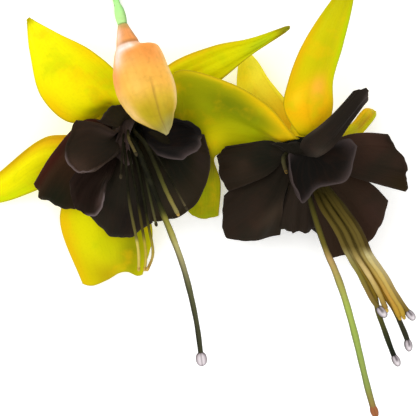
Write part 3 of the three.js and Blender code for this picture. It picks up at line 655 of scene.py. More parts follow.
leftBloom = {
    "name": "left",
    "seed": 100, "girth": 0.88, "head": golden,
    "mouth": np.array([-19, 22.5, 13.0]),
    "axis": unit([-0.08, -0.8, 0.6]),
    "stalk": {
        "path": [[-23.9, 60, 2.4], [-22.6, 50, 1.2], [-20, 42, 1.6]],
        "paint": greenStalk, "plump": 1.0,
    },
    "sepals": [
        {
            "ribs": [
                [[-33.4, 21, 15], [-40.3, 27, 16], [-43.3, 37.3, 13]],
                [[-27.5, 26.5, 17], [-35.5, 34.5, 17], [-40.5, 41, 13]],
                [[-21.8, 32, 15], [-28.5, 38.1, 15], [-36.6, 42.5, 12]],
            ],
            "tip": [-44.3, 46.6, 7],
            "paint": (252, 244, 2),
            "spots": [
                (0.42, 0.7, 0.12, 0.5, (205, 216, 2)), (0.64, 0.95, 0.14, 0.3, (252, 216, 6)),
                (0.45, -0.2, 0.2, 0.6, (253, 240, 2)), (0.5, -1.0, 0.14, 0.3, (252, 208, 4)),
                (1.0, 0.0, 0.04, 2.0, (190, 175, 20)),
            ],
        },
        {
            "ribs": [
                [[-31.5, 18.3, 12], [-40, 17.2, 9], [-50.5, 9.7, 5]],
                [[-31.5, 14, 11], [-41.5, 12, 9], [-51.5, 5, 5]],
                [[-30.5, 10, 9], [-40.5, 5.5, 6], [-51.5, 1.7, 3]],
            ],
            "tip": [-59, 2, 0.3],
            "paint": (248, 238, 2),
            "spots": [
                (0.5, -1.0, 0.2, 0.5, (248, 172, 22)), (0.72, -1.0, 0.22, 0.4, (216, 174, 18)),
                (0.75, 0.9, 0.3, 0.4, (214, 226, 4)),
            ],
        },
        {
            "ribs": [
                [[-34, 4.5, 7], [-36.7, -3, 5], [-30.6, -20.7, 0.3]],
                [[-28, 3, 8], [-28, -8, 6], [-25, -17.8, 0.8]],
                [[-21.5, 2, 8], [-20.5, -8, 5.5], [-20.5, -15.9, 0.8]],
                [[-16, 3, 7], [-13.9, -6.5, 5], [-16.8, -17.8, 0.3]],
            ],
            "round": 0.025, "paint": (226, 219, 2),
            "spots": [
                (0.6, -0.3, 0.12, 0.4, (236, 230, 6)), (0.85, 0.55, 0.25, 0.5, (148, 148, 6)),
                (0.85, -1.0, 0.25, 0.25, (232, 186, 8)), (0.98, -0.3, 0.1, 0.45, (190, 168, 8)),
                (0.78, -0.1, 0.1, 0.25, (206, 204, 4)),
            ],
        },
        {
            "ribs": [
                [[-9.8, 34.6, 12], [1.5, 39.7, 10.5], [11.3, 41.6, 11.5]],
                [[-9.5, 30, 11], [1.5, 35.6, 9.5], [11.5, 39.8, 12]],
                [[-10, 24.5, 10], [1.5, 30.5, 8.5], [10.9, 37.8, 11]],
            ],
            "tip": [19.9, 44.1, 14],
            "paint": (226, 220, 4),
            # the bright spot at 0.34 is painted light that lifts the shadow the bud casts here
            "spots": [
                (0.42, -1.0, 0.25, 0.2, (250, 190, 28)), (0.34, 0.2, 0.22, 1.2, (255, 250, 20)),
                (0.62, 0.0, 0.1, 0.6, (232, 230, 4)), (0.84, 0.2, 0.1, 1.0, (186, 206, 24)),
                (0.62, 1.0, 0.2, 0.1, (190, 170, 20)), (1.0, 0.0, 0.06, 2.0, (110, 100, 40)),
            ],
        },
    ],
    "petals": [
        {
            "ribs": [
                [[-29.7, 21.2, 18], [-37.6, 13.3, 15], [-42.9, 5, 11]],
                [[-28.5, 15.5, 17], [-36, 8, 13], [-40.3, 1.8, 10]],
                [[-25, 10.5, 15], [-30.2, 4.3, 11], [-33, -0.9, 9]],
            ],
            "wave": (0.5, 2, 0.5), "paint": (58, 38, 24),
            "spots": [(0.95, 0.3, 0.2, 0.7, (32, 32, 20)), (0.7, -0.9, 0.3, 0.3, (66, 30, 22))],
            "rimLight": 0.1,
        },
        {
            "ribs": [
                [[-21.9, 18.6, 20.5], [-26, 20.3, 22], [-32, 20.9, 23]],
                [[-24, 16.5, 20.2], [-29.5, 16.6, 22], [-34.3, 13.9, 25]],
                [[-23, 14, 20.5], [-27.6, 10.2, 22], [-31.6, 8, 25]],
                [[-21.5, 13, 21], [-24.3, 10.6, 23], [-26.9, 9.1, 25]],
            ],
            "wave": (0.3, 2, 2), "paint": (46, 37, 29),
            # the pale spot near the margin, at 0.93, is a painted highlight on the rolled rim
            "spots": [
                (0.93, 0.5, 0.14, 0.6, (84, 65, 56)), (0.5, 0.2, 0.15, 1.0, (34, 31, 25)),
                (0.4, -0.8, 0.3, 0.2, (62, 50, 46)),
            ],
            "rimLight": 0.72, "litFrom": 0.45, "litAcross": (-0.35, 1.02), "rimWidth": 0.8, "lip": 0.6,
        },
        {
            "ribs": [
                [[-25, 8, 16], [-28.2, 3, 13], [-29.9, -2.2, 10]],
                [[-19.5, 7, 17], [-20.2, 0, 13], [-21.7, -7.7, 8]],
                [[-14, 8, 17], [-13.5, 2, 13], [-13.7, -4.2, 9]],
            ],
            "wave": (0.6, 2.4, 1.2), "paint": (40, 34, 27),
            "spots": [
                (0.92, -0.6, 0.12, 0.4, (42, 36, 28)), (0.5, 0.0, 0.14, 1.0, (46, 40, 32)),
                (0.85, 0.1, 0.1, 0.3, (32, 27, 23)),
            ],
            "rimLight": 0.1,
        },
        {
            "ribs": [
                [[-27.5, 10.5, 18], [-31, 9, 18.5], [-33.6, 5.6, 18.5]],
                [[-26.5, 9.5, 16.5], [-30, 4.5, 16.5], [-31.6, -0.4, 17]],
                [[-24.5, 9, 16.5], [-27, 4, 16.5], [-27.6, -1.2, 18]],
                [[-23.5, 9, 18], [-25, 6.5, 19.5], [-25.2, 3.9, 21]],
            ],
            "wave": (0.2, 2, 0), "paint": (36, 26, 21),
            # both pale spots are painted highlight: on the lit rim and on the lit body beside it
            "spots": [(0.92, 0.7, 0.1, 0.3, (74, 58, 54)), (0.62, 0.6, 0.1, 0.5, (52, 42, 34))],
            "rimLight": 0.95, "litAcross": (-0.1, 1.04), "rimWidth": 0.8, "lip": 0.7,
        },
        {
            "ribs": [
                [[-16.5, 9, 19], [-16, 3, 15.5], [-14.3, -3.2, 10.5]],
                [[-10, 10, 18], [-6.9, 3.8, 14], [-5.1, -0.8, 9]],
                [[-7, 14, 17], [-3.3, 11.9, 14], [0.2, 9.9, 11]],
                [[-8, 17.5, 14.8], [-4.2, 18.2, 13.9], [-1, 18.1, 13.6]],
            ],
            "wave": (0.4, 2.2, 2.5), "paint": (46, 39, 27),
            "spots": [
                (0.55, 0.0, 0.2, 1.2, (27, 27, 19)), (0.85, 0.45, 0.15, 0.3, (50, 41, 35)),
                (0.8, -0.5, 0.15, 0.3, (50, 42, 30)),
            ],
            "rimLight": 0.1,
        },
        {
            "ribs": [
                [[-12, 20.9, 17], [-9, 21.3, 18], [-6, 20.9, 19]],
                [[-9.5, 19, 15.8], [-5.5, 19.5, 17.3], [-2.4, 18.5, 20]],
                [[-10.5, 15.5, 16.8], [-6, 15.4, 18.3], [-2.5, 15.1, 23]],
                [[-13.5, 14.4, 20], [-10.5, 13.2, 22], [-6.6, 12.3, 24]],
            ],
            "wave": (0.15, 2, 0.8), "paint": (28, 26, 25),
            # the pale spot at the margin is a painted highlight on the curled rim
            "spots": [(0.98, 0.7, 0.08, 0.5, (50, 42, 41))],
            "rimLight": 0.4, "litFrom": 0.35, "litAcross": (-0.3, 1.3), "rimWidth": 1.1, "lip": 0.8,
            "lipWidth": 2.0,
        },
        {
            "ribs": [
                [[-21.5, 19.6, 19.3], [-24.5, 20.2, 20], [-27, 21.2, 20.5]],
                [[-20, 22.7, 20], [-21, 24.1, 20], [-21.5, 25, 20]],
                [[-16.5, 23.2, 18], [-15.5, 24.6, 18], [-15, 25, 17]],
            ],
            "wave": (0.3, 2, 0), "paint": (40, 35, 22),
            "spots": [(0.8, 0.6, 0.5, 0.6, (30, 30, 18)), (0.9, -0.9, 0.3, 0.3, (48, 40, 32))],
            "rimLight": 0.08, "frill": 0.08, "lip": 0.15,
        },
        {
            "ribs": [
                [[-21.5, 18.3, 19.4], [-22.3, 15.3, 19.7], [-22, 12.6, 20]],
                [[-20, 18, 18.6], [-20.7, 14.5, 19.2], [-20.2, 10.8, 19.8]],
                [[-19, 17.8, 18.6], [-19, 14.4, 19.4], [-18.2, 10.6, 20.6]],
            ],
            "wave": (0.15, 2, 0.4), "paint": (46, 38, 34),
            "spots": [(0.78, 0.4, 0.35, 0.7, (84, 67, 63))],
            "rimLight": 0.5, "litFrom": 0.25, "litAcross": (0.1, 1.3), "rimWidth": 1.1, "frill": 0.08,
            "lip": 0.4,
        },
    ],
    "filaments": [
        {
            "path": [[-14, 14.5, 20.8], [-11, 10.5, 21.8], [-8, 5, 21.5], [-5, -0.5, 19]],
            "paint": [(6, (30, 28, 21)), (3, (66, 59, 42)), (-1, (118, 106, 76))],
            "slim": 0.75, "head": dusky,
        },
        {
            "path": [[-14.8, 15, 22.8], [-12.5, 10, 23.2], [-10, 4, 22.5], [-7, -2, 20]],
            "paint": [
                (12, (34, 33, 22)), (9, (50, 50, 28)), (5.6, (82, 80, 40)), (2, (128, 118, 62)),
                (-1.7, (150, 138, 88)),
            ],
            "slim": 1.4, "head": {**golden, "skin": (176, 150, 84)},
        },
        {
            "path": [[-19, 16.5, 23], [-18, 14.5, 25], [-16.9, 12.3, 25.6]],
            "paint": [(18.5, (36, 34, 22)), (17, (84, 76, 46)), (13.5, (96, 86, 54)), (12, (56, 50, 34))],
            "head": dusky,
        },
        {
            "path": [[-20.5, 15, 22.4], [-20.8, 10, 22.6], [-21, 7, 21.5]],
            "paint": [(20, (30, 29, 21)), (5, (36, 32, 24))],
            "slim": 0.7, "head": dusky,
        },
        {
            "path": [[-19.8, 11.5, 21.9], [-19, 1.5, 19.5], [-17, -10.5, 13.5], [-17, -15.5, 11]],
            "paint": [
                (4, (30, 29, 21)), (1, (62, 58, 36)), (-3, (92, 86, 48)), (-7, (110, 102, 52)),
                (-8.5, (214, 196, 96)), (-16, (214, 184, 96)),
            ],
        },
        {
            "path": [[-18.5, 10.5, 20.9], [-16.5, -1.5, 18], [-15.2, -11.5, 13], [-15.5, -15.5, 11.5]],
            "paint": [
                (1, (30, 29, 21)), (-1.5, (66, 60, 30)), (-6, (86, 76, 34)), (-8.5, (186, 166, 60)),
                (-16, (206, 180, 84)),
            ],
        },
        {
            "path": [[-17, 10.5, 20.4], [-14.5, -4, 17], [-13.5, -11.5, 13], [-15, -15.5, 12]],
            "paint": [
                (-1, (32, 32, 21)), (-5, (84, 80, 34)), (-8, (150, 134, 52)), (-12, (182, 158, 80)),
                (-16, (150, 110, 44)),
            ],
        },
        {
            "path": [[-16, 12.5, 20.5], [-14.5, 5, 20], [-12.5, -4.5, 16]],
            "paint": [(9, (30, 30, 20)), (5.6, (50, 50, 34)), (2, (66, 66, 40)), (-4, (104, 98, 62))],
            "slim": 0.9, "head": dusky,
        },
    ],
    "style": {
        "path": [
            [-16.7, 13.5, 22], [-13.5, 5.5, 21.8], [-11, -1, 20], [-8.8, -6.5, 17.5], [-5.85, -15, 14],
            [-2.95, -27.5, 9.5], [-1.4, -39, 7.5],
        ],
        "paint": [
            (2, (30, 30, 21)), (-0.8, (60, 60, 30)), (-2.5, (140, 134, 60)), (-5, (160, 152, 70)),
            (-9, (186, 178, 112)), (-13.5, (156, 148, 106)), (-20, (94, 94, 64)), (-30, (70, 71, 52)),
            (-37, (62, 62, 48)),
        ],
        "girth": (1.0, 1.15, 1.25, 1.0),
    },
    # the stigma's seam colour is painted shade in its grooves, along its sides and at its ends
    "stigma": {"girth": 1.25, "skin": (246, 236, 240), "seam": (58, 44, 52)},
}

rightBloom = {
    "name": "right",
    "seed": 200, "girth": 1.62, "head": whitish,
    "mouth": np.array([23, 16, 19.0]),
    "axis": unit([-0.08, -0.98, 0.17]),
    "stalk": {
        "path": [[36.9, 63.4, 3.1], [33, 53, 5.5], [28, 42, 10]],
        "paint": greenStalk, "plump": 1.0,
    },
    "sepals": [
        {
            "ribs": [
                [[14.5, 24.7, 17], [5, 30.4, 15], [-8, 33, 14], [-8.5, 21.5, 11.5], [-4.6, -1.8, 0.4]],
                [[12, 20, 17], [4, 23, 15], [-2, 20.5, 12.5], [-2, 10.5, 8], [-1.4, -2.6, 0.3]],
                [[14, 14.9, 15], [7, 14.6, 13], [1.4, 12.5, 10.5], [2.8, 6.5, 7.2], [2.5, -2.3, 0.4]],
            ],
            "start": 0.83 * math.pi, "neck": (1.5, 2.4), "round": 0.006, "paint": (172, 174, 8),
            # the dark olive spot at 0.45 is painted shade below the upper edge, the golden spots on that edge
            # at 0.3 and 0.52 are painted highlight, and the dark spots at 0.73 and 0.84, where the sepal
            # hangs between the corollas, are painted shadow
            "spots": [
                (0.45, -0.35, 0.26, 0.5, (114, 127, 6)), (0.62, -0.3, 0.07, 0.6, (156, 162, 14)),
                (0.3, -1.0, 0.16, 0.45, (246, 198, 18)), (0.52, -1.0, 0.16, 0.1, (236, 202, 28)),
                (0.17, -0.2, 0.09, 0.8, (218, 176, 14)), (0.42, 0.8, 0.2, 0.35, (184, 182, 10)),
                (0.64, 0.6, 0.12, 0.45, (232, 215, 10)), (0.73, 0.8, 0.07, 0.5, (126, 116, 22)),
                (0.8, 0.3, 0.05, 0.6, (144, 140, 32)), (0.84, -0.7, 0.1, 0.5, (128, 124, 16)),
                (0.97, 0.0, 0.07, 1.0, (156, 162, 12)),
            ],
        },
        {
            "ribs": [
                [[15, 22, 10], [7.9, 27, 6.5], [7.5, 35, 4]],
                [[18, 24, 10], [12.5, 32, 7], [10.5, 36.5, 4]],
                [[20.1, 24.8, 11], [15, 31.8, 7], [12.4, 36.6, 3]],
            ],
            "tip": [9.2, 39.5, 2],
            "start": -0.67 * math.pi, "paint": (255, 238, 62),
            "spots": [
                (0.3, 0.0, 0.2, 1.5, (236, 186, 26)), (0.75, 0.9, 0.3, 0.4, (246, 232, 52)),
                (0.7, -0.6, 0.15, 0.4, (252, 226, 40)),
            ],
        },
        {
            "ribs": [
                [[18.3, 24, 25], [19.4, 30.5, 26], [22.8, 39, 24], [29.2, 49, 19]],
                [[24, 24.5, 27], [25.5, 31.5, 27], [28, 39, 25], [32, 49, 20]],
                [[29.7, 24, 25], [29.8, 30.5, 25.5], [32.2, 39, 23.5], [34.8, 49, 19]],
            ],
            "tip": [35.5, 56.5, 15],
            "start": 0.36 * math.pi, "paint": (214, 204, 8),
            "spots": [
                (0.33, 0.0, 0.14, 1.6, (250, 182, 12)), (0.45, 0.25, 0.08, 0.4, (255, 182, 60)),
                (0.38, -0.5, 0.06, 0.3, (252, 206, 30)), (0.6, -1.0, 0.25, 0.3, (230, 178, 10)),
                (0.62, 0.1, 0.12, 0.5, (196, 188, 8)), (0.75, 1.0, 0.25, 0.22, (186, 216, 10)),
                (0.95, 0.0, 0.15, 1.5, (184, 178, 8)),
            ],
        },
        {
            "ribs": [
                [[31, 19, 14], [35.2, 20.6, 9], [38.6, 24.3, 5]],
                [[31, 16.5, 14], [36.5, 19.6, 9], [40.6, 23.4, 4]],
                [[31, 14, 12], [36.8, 17.8, 7], [41, 22.2, 4]],
            ],
            "tip": [41.4, 24, 0.3],
            "start": -0.17 * math.pi, "paint": (200, 184, 20),
            "spots": [
                (0.7, 0.0, 0.16, 0.4, (176, 138, 24)), (0.75, -0.9, 0.2, 0.3, (232, 176, 20)),
                (0.85, 0.9, 0.2, 0.4, (176, 184, 20)),
            ],
        },
    ],
    "petals": [
        {
            "ribs": [
                [[15, 16.1, 20.5], [9.5, 15.7, 18], [4, 15.1, 15]],
                [[13, 13, 20], [8, 12, 17], [2.4, 11.5, 13]],
                [[15, 8.5, 19], [10, 6, 16], [4.5, 4, 12]],
            ],
            "wave": (0.4, 2, 0.5), "start": 0.8 * math.pi, "paint": (42, 34, 25),
            "spots": [(0.45, -0.1, 0.18, 1.2, (24, 24, 18)), (0.75, 0.3, 0.12, 0.4, (52, 42, 33))],
            "rimLight": 0.03, "lip": 0.05,
        },
        {
            "ribs": [
                [[13.5, 9, 15.5], [8.5, 7, 12.5], [3.6, 2.6, 10]],
                [[15.5, 3, 16], [10, -3, 12.5], [4.8, -7.2, 9]],
                [[18.5, 3, 16], [18.1, -2, 12], [17.6, -7.4, 8]],
            ],
            "wave": (0.5, 2.2, 1.5), "paint": (44, 36, 29),
            "spots": [(0.68, 0.7, 0.2, 0.4, (58, 47, 36)), (0.45, 0.0, 0.12, 1.0, (34, 30, 23))],
            "rimLight": 0.03, "lip": 0.05,
        },
        {
            "ribs": [
                [[19.5, 4.5, 15], [18, 0, 12], [17.5, -5, 9]],
                [[22.5, 4.5, 16], [22, -1, 13], [21.5, -6, 10]],
                [[25.5, 4.5, 15], [26, -1, 12.5], [26.3, -5.4, 10]],
            ],
            "wave": (0.5, 3, 0), "paint": (46, 38, 31), "rimLight": 0.03, "lip": 0.1,
        },
        {
            "ribs": [
                [[25.5, 2, 14], [27.5, -5, 11], [29.6, -12.9, 8]],
                [[31, 3, 15], [35.2, -3.5, 12], [39.2, -9.3, 9]],
                [[34, 9, 14.6], [40.4, 5.4, 12.8], [44.6, 1.2, 11]],
            ],
            "wave": (0.5, 2.2, 1), "paint": (54, 41, 31),
            "spots": [(0.9, 0.6, 0.2, 0.5, (58, 42, 35)), (0.6, -0.4, 0.2, 0.4, (48, 38, 27))],
            "rimLight": 0.04, "lip": 0.2,
        },
        {
            "ribs": [
                [[33, 17.3, 18], [38, 18.1, 17], [43.7, 17.8, 16]],
                [[34.5, 13, 18], [41, 12, 17], [47.9, 10.7, 15.5]],
                [[33, 8.5, 17.5], [41, 6, 16.5], [48.4, 4.1, 15]],
            ],
            "wave": (0.4, 2.2, 2), "start": 0.1 * math.pi, "paint": (48, 37, 30),
            "spots": [(0.75, -0.8, 0.25, 0.6, (66, 47, 38)), (1.0, 0.9, 0.15, 0.5, (46, 36, 20))],
            "rimLight": 0.06,
        },
        {
            "ribs": [
                [[19.3, 13, 24], [18.9, 10, 24.5], [19.6, 5.8, 25.3]],
                [[21.7, 10.5, 23.2], [21.2, 5.4, 23.5], [22.6, 1, 24.3]],
                [[24.5, 10.5, 22.8], [25.3, 7.0, 23.4], [26.3, 4.4, 24.8]],
                [[28.2, 11, 22.6], [30.6, 8.0, 23.8], [33, 6.1, 26.2]],
                [[31, 16, 24.4], [34, 16.4, 25.2], [36, 14.4, 26.8]],
            ],
            "wave": (0.1, 2, 0), "paint": (25, 23, 20),
            # the three pale spots near the margin are a painted highlight on the curled rim
            "spots": [
                (0.95, 0.5, 0.12, 0.45, (62, 53, 51)), (0.93, -0.6, 0.16, 0.3, (46, 38, 36)),
                (0.8, 0.95, 0.2, 0.12, (54, 45, 44)),
            ],
            "rimLight": 0.3, "litFrom": 0.35, "rimWidth": 2.3, "frill": 0.05, "lip": 0.8, "lipWidth": 2.0,
        },
        {
            "ribs": [
                [[22.9, 16.5, 27], [26, 18.9, 27.8], [29.4, 22, 28.5], [35.1, 28.3, 27.5]],
                [[25.6, 14.9, 29], [28.8, 17.8, 29.7], [32, 20.8, 30], [38, 27.8, 29]],
                [[28, 13.3, 27], [30.8, 16.1, 27.4], [33, 19.5, 27.5], [37.4, 25.3, 27]],
            ],
            "wave": (0.2, 2, 0), "paint": (37, 32, 27),
            # the pale spots are painted highlights: near the root on one side, along the other edge's curl
            # and at the tip
            "spots": [
                (0.33, 0.75, 0.14, 0.7, (70, 63, 55)), (0.62, -1.0, 0.2, 0.25, (62, 55, 46)),
                (1.0, 0.5, 0.05, 0.6, (70, 62, 58)),
            ],
            "rimLight": 0.06, "frill": 0.06, "lip": 0.2,
        },
        {
            "ribs": [
                [[22.5, 7, 9], [23, 1, 5], [24, -4, 2]],
                [[27.5, 5.5, 8], [29, -1, 4], [30.5, -7.5, 0.3]],
                [[32.5, 7, 9], [36, 3, 6], [38.5, -1.5, 3]],
            ],
            "wave": (0.4, 2, 1), "paint": (40, 33, 26), "rimLight": 0.05, "lip": 0.2,
        },
        {
            "ribs": [
                [[14, 9.5, 10], [10, 8, 7], [6.5, 7, 4]],
                [[15.5, 5.5, 9], [12, 2, 6], [9, -1.5, 3]],
                [[20, 4.5, 9], [19.5, 0, 6], [19, -3.5, 4]],
            ],
            "wave": (0.4, 2, 1), "paint": (40, 33, 26), "rimLight": 0.05, "lip": 0.2,
        },
        {
            "ribs": [
                [[17.6, 14.1, 22.4], [16.3, 15, 22], [14.6, 15.5, 20.8]],
                [[20, 13.5, 24.4], [19.2, 14.8, 24.6], [18.2, 15.6, 24]],
                [[22.8, 13.4, 25], [22.9, 14.6, 25.4], [22.8, 15.5, 25.2]],
            ],
            "wave": (0.1, 2, 0), "start": 0.65 * math.pi, "paint": (28, 26, 20), "rimLight": 0.06,
            "frill": 0.06, "lip": 0.1,
        },
    ],
    "filaments": [
        {
            "path": [
                [25, 9.5, 20], [32.3, 0.7, 20.6], [36.6, -5.3, 19.6], [39.5, -11.4, 17.8],
                [43, -16.3, 16.1], [45.9, -21.2, 14.5], [48.3, -24.6, 13.2], [50.5, -27.4, 12.4],
            ],
            "paint": [
                (4, (50, 44, 20)), (-5.3, (66, 54, 26)), (-9.3, (76, 62, 32)), (-11.4, (184, 170, 122)),
                (-16.3, (176, 156, 104)), (-21.2, (146, 122, 68)), (-25, (118, 98, 48)),
            ],
        },
        {
            "path": [
                [25.5, 9, 20.8], [31.5, 0.7, 20.8], [35.7, -5.3, 19.8], [38.7, -11.4, 18],
                [42.1, -16.3, 16.3], [45, -21.2, 14.7], [46.9, -24.2, 13.6], [48.1, -27.3, 12.7],
            ],
            "paint": [
                *litThread, (-11.4, (204, 190, 134)), (-16.3, (208, 180, 102)), (-21.2, (192, 160, 80)),
                (-27, (190, 154, 56)),
            ],
            "head": {**golden, "size": 0.5, "skin": (200, 164, 70)},
        },
        {
            "path": [
                [25, 9, 21], [30.6, 0.7, 20.6], [34.8, -5.3, 19.6], [37.8, -11.4, 17.8],
                [41.1, -16.3, 16.1], [44, -21.2, 14.5], [45.7, -24.2, 13.5], [47.1, -27.5, 12.7],
            ],
            "paint": [
                *litThread, (-11.4, (156, 138, 80)), (-16.3, (184, 154, 78)), (-21.2, (196, 150, 70)),
                (-27, (190, 150, 52)),
            ],
            "head": {**golden, "size": 0.5, "skin": (196, 158, 58)},
        },
        {
            "path": [
                [24, 9, 20.8], [29.8, 0.7, 19.8], [33.9, -5.3, 18.8], [36.9, -11.4, 17],
                [40.2, -16.3, 15.3], [43, -21.2, 13.7], [45.5, -24.6, 12.6], [47.1, -28.1, 12],
                [48.8, -32.2, 11.4], [49.4, -35.2, 11],
            ],
            "paint": [
                (4, (54, 47, 22)), (-5.3, (84, 71, 34)), (-9.3, (92, 78, 38)), (-11.4, (140, 120, 68)),
                (-16.3, (142, 112, 42)), (-21.2, (142, 106, 34)), (-25, (112, 90, 38)), (-28, (56, 56, 42)),
                (-35, (48, 49, 42)),
            ],
        },
        {
            "path": [[20.8, 13.8, 21.6], [18.4, 12.6, 23.2], [18.1, 11.3, 23.7], [18.9, 8.2, 23.8]],
            "paint": [(12.6, (44, 42, 28)), (11.4, (68, 65, 43)), (9.5, (70, 63, 43)), (8.2, (54, 46, 36))],
            "slim": 0.8, "head": {**golden, "skin": (60, 52, 40)},
        },
        {
            "path": [
                [23.5, 10.5, 18.3], [27.2, 0.7, 20.3], [31, -5.3, 19.3], [34, -11.4, 17.5],
                [37, -16.3, 15.8], [39.5, -21.2, 14.2], [41.2, -23.8, 13.2], [43.6, -26.7, 12.6],
            ],
            "paint": [
                *litThread, (-11.4, (150, 138, 88)), (-16.3, (130, 120, 54)), (-21.2, (134, 110, 58)),
                (-25, (112, 100, 50)),
            ],
            "head": {**whitish, "size": 1.1},
        },
        {
            "path": [
                [23.9, 9.5, 18.2], [28.1, 0.7, 19.9], [32, -5.3, 18.9], [35, -11.4, 17.1],
                [38, -16.3, 15.4], [40.7, -21.2, 13.8], [41.6, -25.2, 12.2], [43.4, -30.3, 11.2],
                [45.3, -35.4, 10.4], [46.9, -38.9, 10],
            ],
            "paint": [
                (4, (54, 47, 22)), (-5.3, (76, 64, 30)), (-9.3, (84, 71, 34)), (-11.4, (144, 128, 78)),
                (-16.3, (130, 108, 42)), (-21.2, (124, 100, 34)), (-24.5, (98, 90, 42)),
                (-27, (86, 84, 42)), (-30.5, (62, 63, 40)), (-34.5, (38, 42, 34)), (-38, (34, 37, 32)),
            ],
        },
        {
            "path": [
                [24.3, 9.5, 18.8], [28.9, 0.7, 20.7], [32.9, -5.3, 19.7], [35.9, -11.4, 17.9],
                [39.1, -16.3, 16.2], [41.9, -21.2, 14.6], [43, -23.6, 13.4], [43.9, -25.6, 13],
            ],
            "paint": [
                *litThread, (-11.4, (150, 130, 74)), (-13.5, (196, 170, 108)), (-16.3, (216, 188, 124)),
                (-21.2, (182, 154, 82)), (-25, (150, 120, 60)),
            ],
            "head": {**golden, "size": 0.52},
        },
    ],
    "style": {
        "path": [
            [22.9, 9.5, 20], [24, 4.5, 19.7], [26, -2.5, 17.8], [28.85, -10.5, 15], [30.9, -15, 13.6],
            [33.15, -21, 12], [35.85, -30, 9.5], [39.65, -45, 6], [41.7, -52, 5],
        ],
        "paint": [
            (4, (46, 43, 22)), (-2, (82, 76, 31)), (-9, (108, 98, 40)), (-12.5, (190, 158, 100)),
            (-18, (176, 166, 88)), (-24, (172, 188, 88)), (-34, (156, 178, 86)), (-44, (146, 160, 84)),
            (-48, (150, 134, 72)), (-52, (158, 96, 62)),
        ],
        "girth": (0.9, 1.2, 1.4, 1.25),
    },
    # the stigma's seam colour is painted shade in its grooves, along its sides and at its ends
    "stigma": {"girth": 0.9, "skin": (166, 104, 66), "seam": (122, 72, 46)},
}

tube = {
    "length": 9, "neck": 2.2, "belly": 3.3, "mouth": 4.3, "sides": 40, "flutes": 4, "fluting": 0.02,
    "paint": [(-9, (190, 200, 60)), (-4, (214, 206, 20)), (0, (226, 196, 14))],  # by distance from the mouth
}


def tubePiece(bloom):
    # the floral tube behind the sepals
    n, m, w = tube["neck"], tube["mouth"], tube["length"]
    places = np.linspace(0, 1, 18)
    radii = np.interp(places, [0, 0.3, 0.65, 0.87, 1], [n, n + 0.3, tube["belly"], m - 0.3, m])
    profile = [(n * 0.7, -w)] + [(r, -w + w * p) for p, r in zip(places, radii)]
    profile += [(m - 0.5, 0.1), (m - 1.0, -0.2), (0.6, -0.4)]
    mouth, axis = bloom["mouth"], bloom["axis"]
    vertices, faces = turnedMesh(profile, tube["sides"], mouth, axis, tube["flutes"], tube["fluting"])
    colours = colourStops(tube["paint"], (vertices - mouth) @ axis)
    zero = np.zeros(len(vertices))
    values = {"along": zero + 0.3, "across": zero, "rim": zero}
    newPiece(bloom["name"] + "_tube", vertices, faces, "sepal", [bloom["name"] + "_calyx"], colours, values)


throat = {
    "profile": [
        (2.5, 0.3), (4.0, 0.15), (4.55, -0.3), (4.85, -0.1), (4.9, 0.6), (4.8, 1.8), (4.5, 2.9), (3.9, 3.5),
        (3.0, 3.4), (2.5, 2.6), (2.5, 0.3),
    ],
    "sides": 96, "flutes": 13, "fluting": 0.05, "paint": (22, 24, 20),
}


def throatPiece(bloom):
    # the bunched bases of the petals
    mouth, axis, name = bloom["mouth"], bloom["axis"], bloom["name"]
    flutes, depth = throat["flutes"], throat["fluting"]
    vertices, faces = turnedMesh(throat["profile"], throat["sides"], mouth, axis, flutes, depth)
    values = {key: np.zeros(len(vertices)) for key in ("along", "across", "rim", "rimLight")}
    colours = plain(throat["paint"], vertices)
    newPiece(name + "_throat", vertices, faces, "petal", [name + "_corolla"], colours, values)


filament = {
    # sideShade is how strongly painted shade darkens a thread's two sides
    "radius": 0.42, "sides": 12, "taper": 0.04, "uneven": 0.05, "sideShade": 0.12,
    "depth": 1.3, "circle": 1.4, "lead": 3,  # where it starts in the mouth, and its straight first stretch
    "ring": (0.9, 1.9), "ringHeight": 2.4, "ringSides": 24, "ringPaint": (40, 38, 22),
}
anther = {
    "length": 3.3, "radius": 1.14, "sides": 24, "grooves": 2, "grooveDepth": 0.3,
    "furrowAt": 4.6, "furrowWidth": 0.28,  # the furrow between the lobes, as an angle
}


def swollen(start, radius, swelling, grooves, depth):
    # radius along a thread whose end swells from start on, with grooves round it
    def radiusAt(u, angle):
        k = (u - start) / (1 - start)
        if k <= 0:
            return radius
        shape = swelling * math.sqrt(max(0.0, 1 - (2 * k - 1) ** 2))
        groove = 1 - depth * math.exp(-((math.sin(angle * grooves / 2) / 0.35) ** 2))
        return max(radius * 0.7 if k < 0.5 else 0.02, shape * groove)
    return radiusAt


def filamentMesh(points, plan, radius, start, k):
    def thick(u, angle):
        return radius * (1 - filament["taper"] * u) * (1 + filament["uneven"] * math.sin(u * 60 + k))

    stations = np.linspace(0, start + (1 - start) * 0.3, 70)
    vertices, faces, _, turns = tubeMesh(points, thick, filament["sides"], stations)
    return vertices, faces, downStops(plan["paint"], vertices, turns, filament["sideShade"])


def antherMesh(points, head, radius, start):
    # two lobes, darker in the furrow between them, with painted shade darkening their sides and both ends
    places = np.concatenate([[0.02, 0.06], np.linspace(0.1, 0.9, 13), [0.96, 0.995]])
    wide = anther["radius"] * head["size"]
    swell = swollen(start, radius, wide, anther["grooves"], anther["grooveDepth"])
    vertices, faces, u, turns = tubeMesh(points, swell, anther["sides"], start + (1 - start) * places)
    share = (u - start) / (1 - start)
    furrow = np.exp(-((turns - anther["furrowAt"]) / anther["furrowWidth"]) ** 2)
    seam = np.abs(np.cos(turns)) ** 2 * 0.95 + np.abs(share * 2 - 1) ** 6
    seam = np.clip(seam + furrow * smooth((0.7 - share) / 0.3) * 0.7, 0, 1)
    return vertices, faces, blended(head["skin"], head["seam"], seam[:, None])


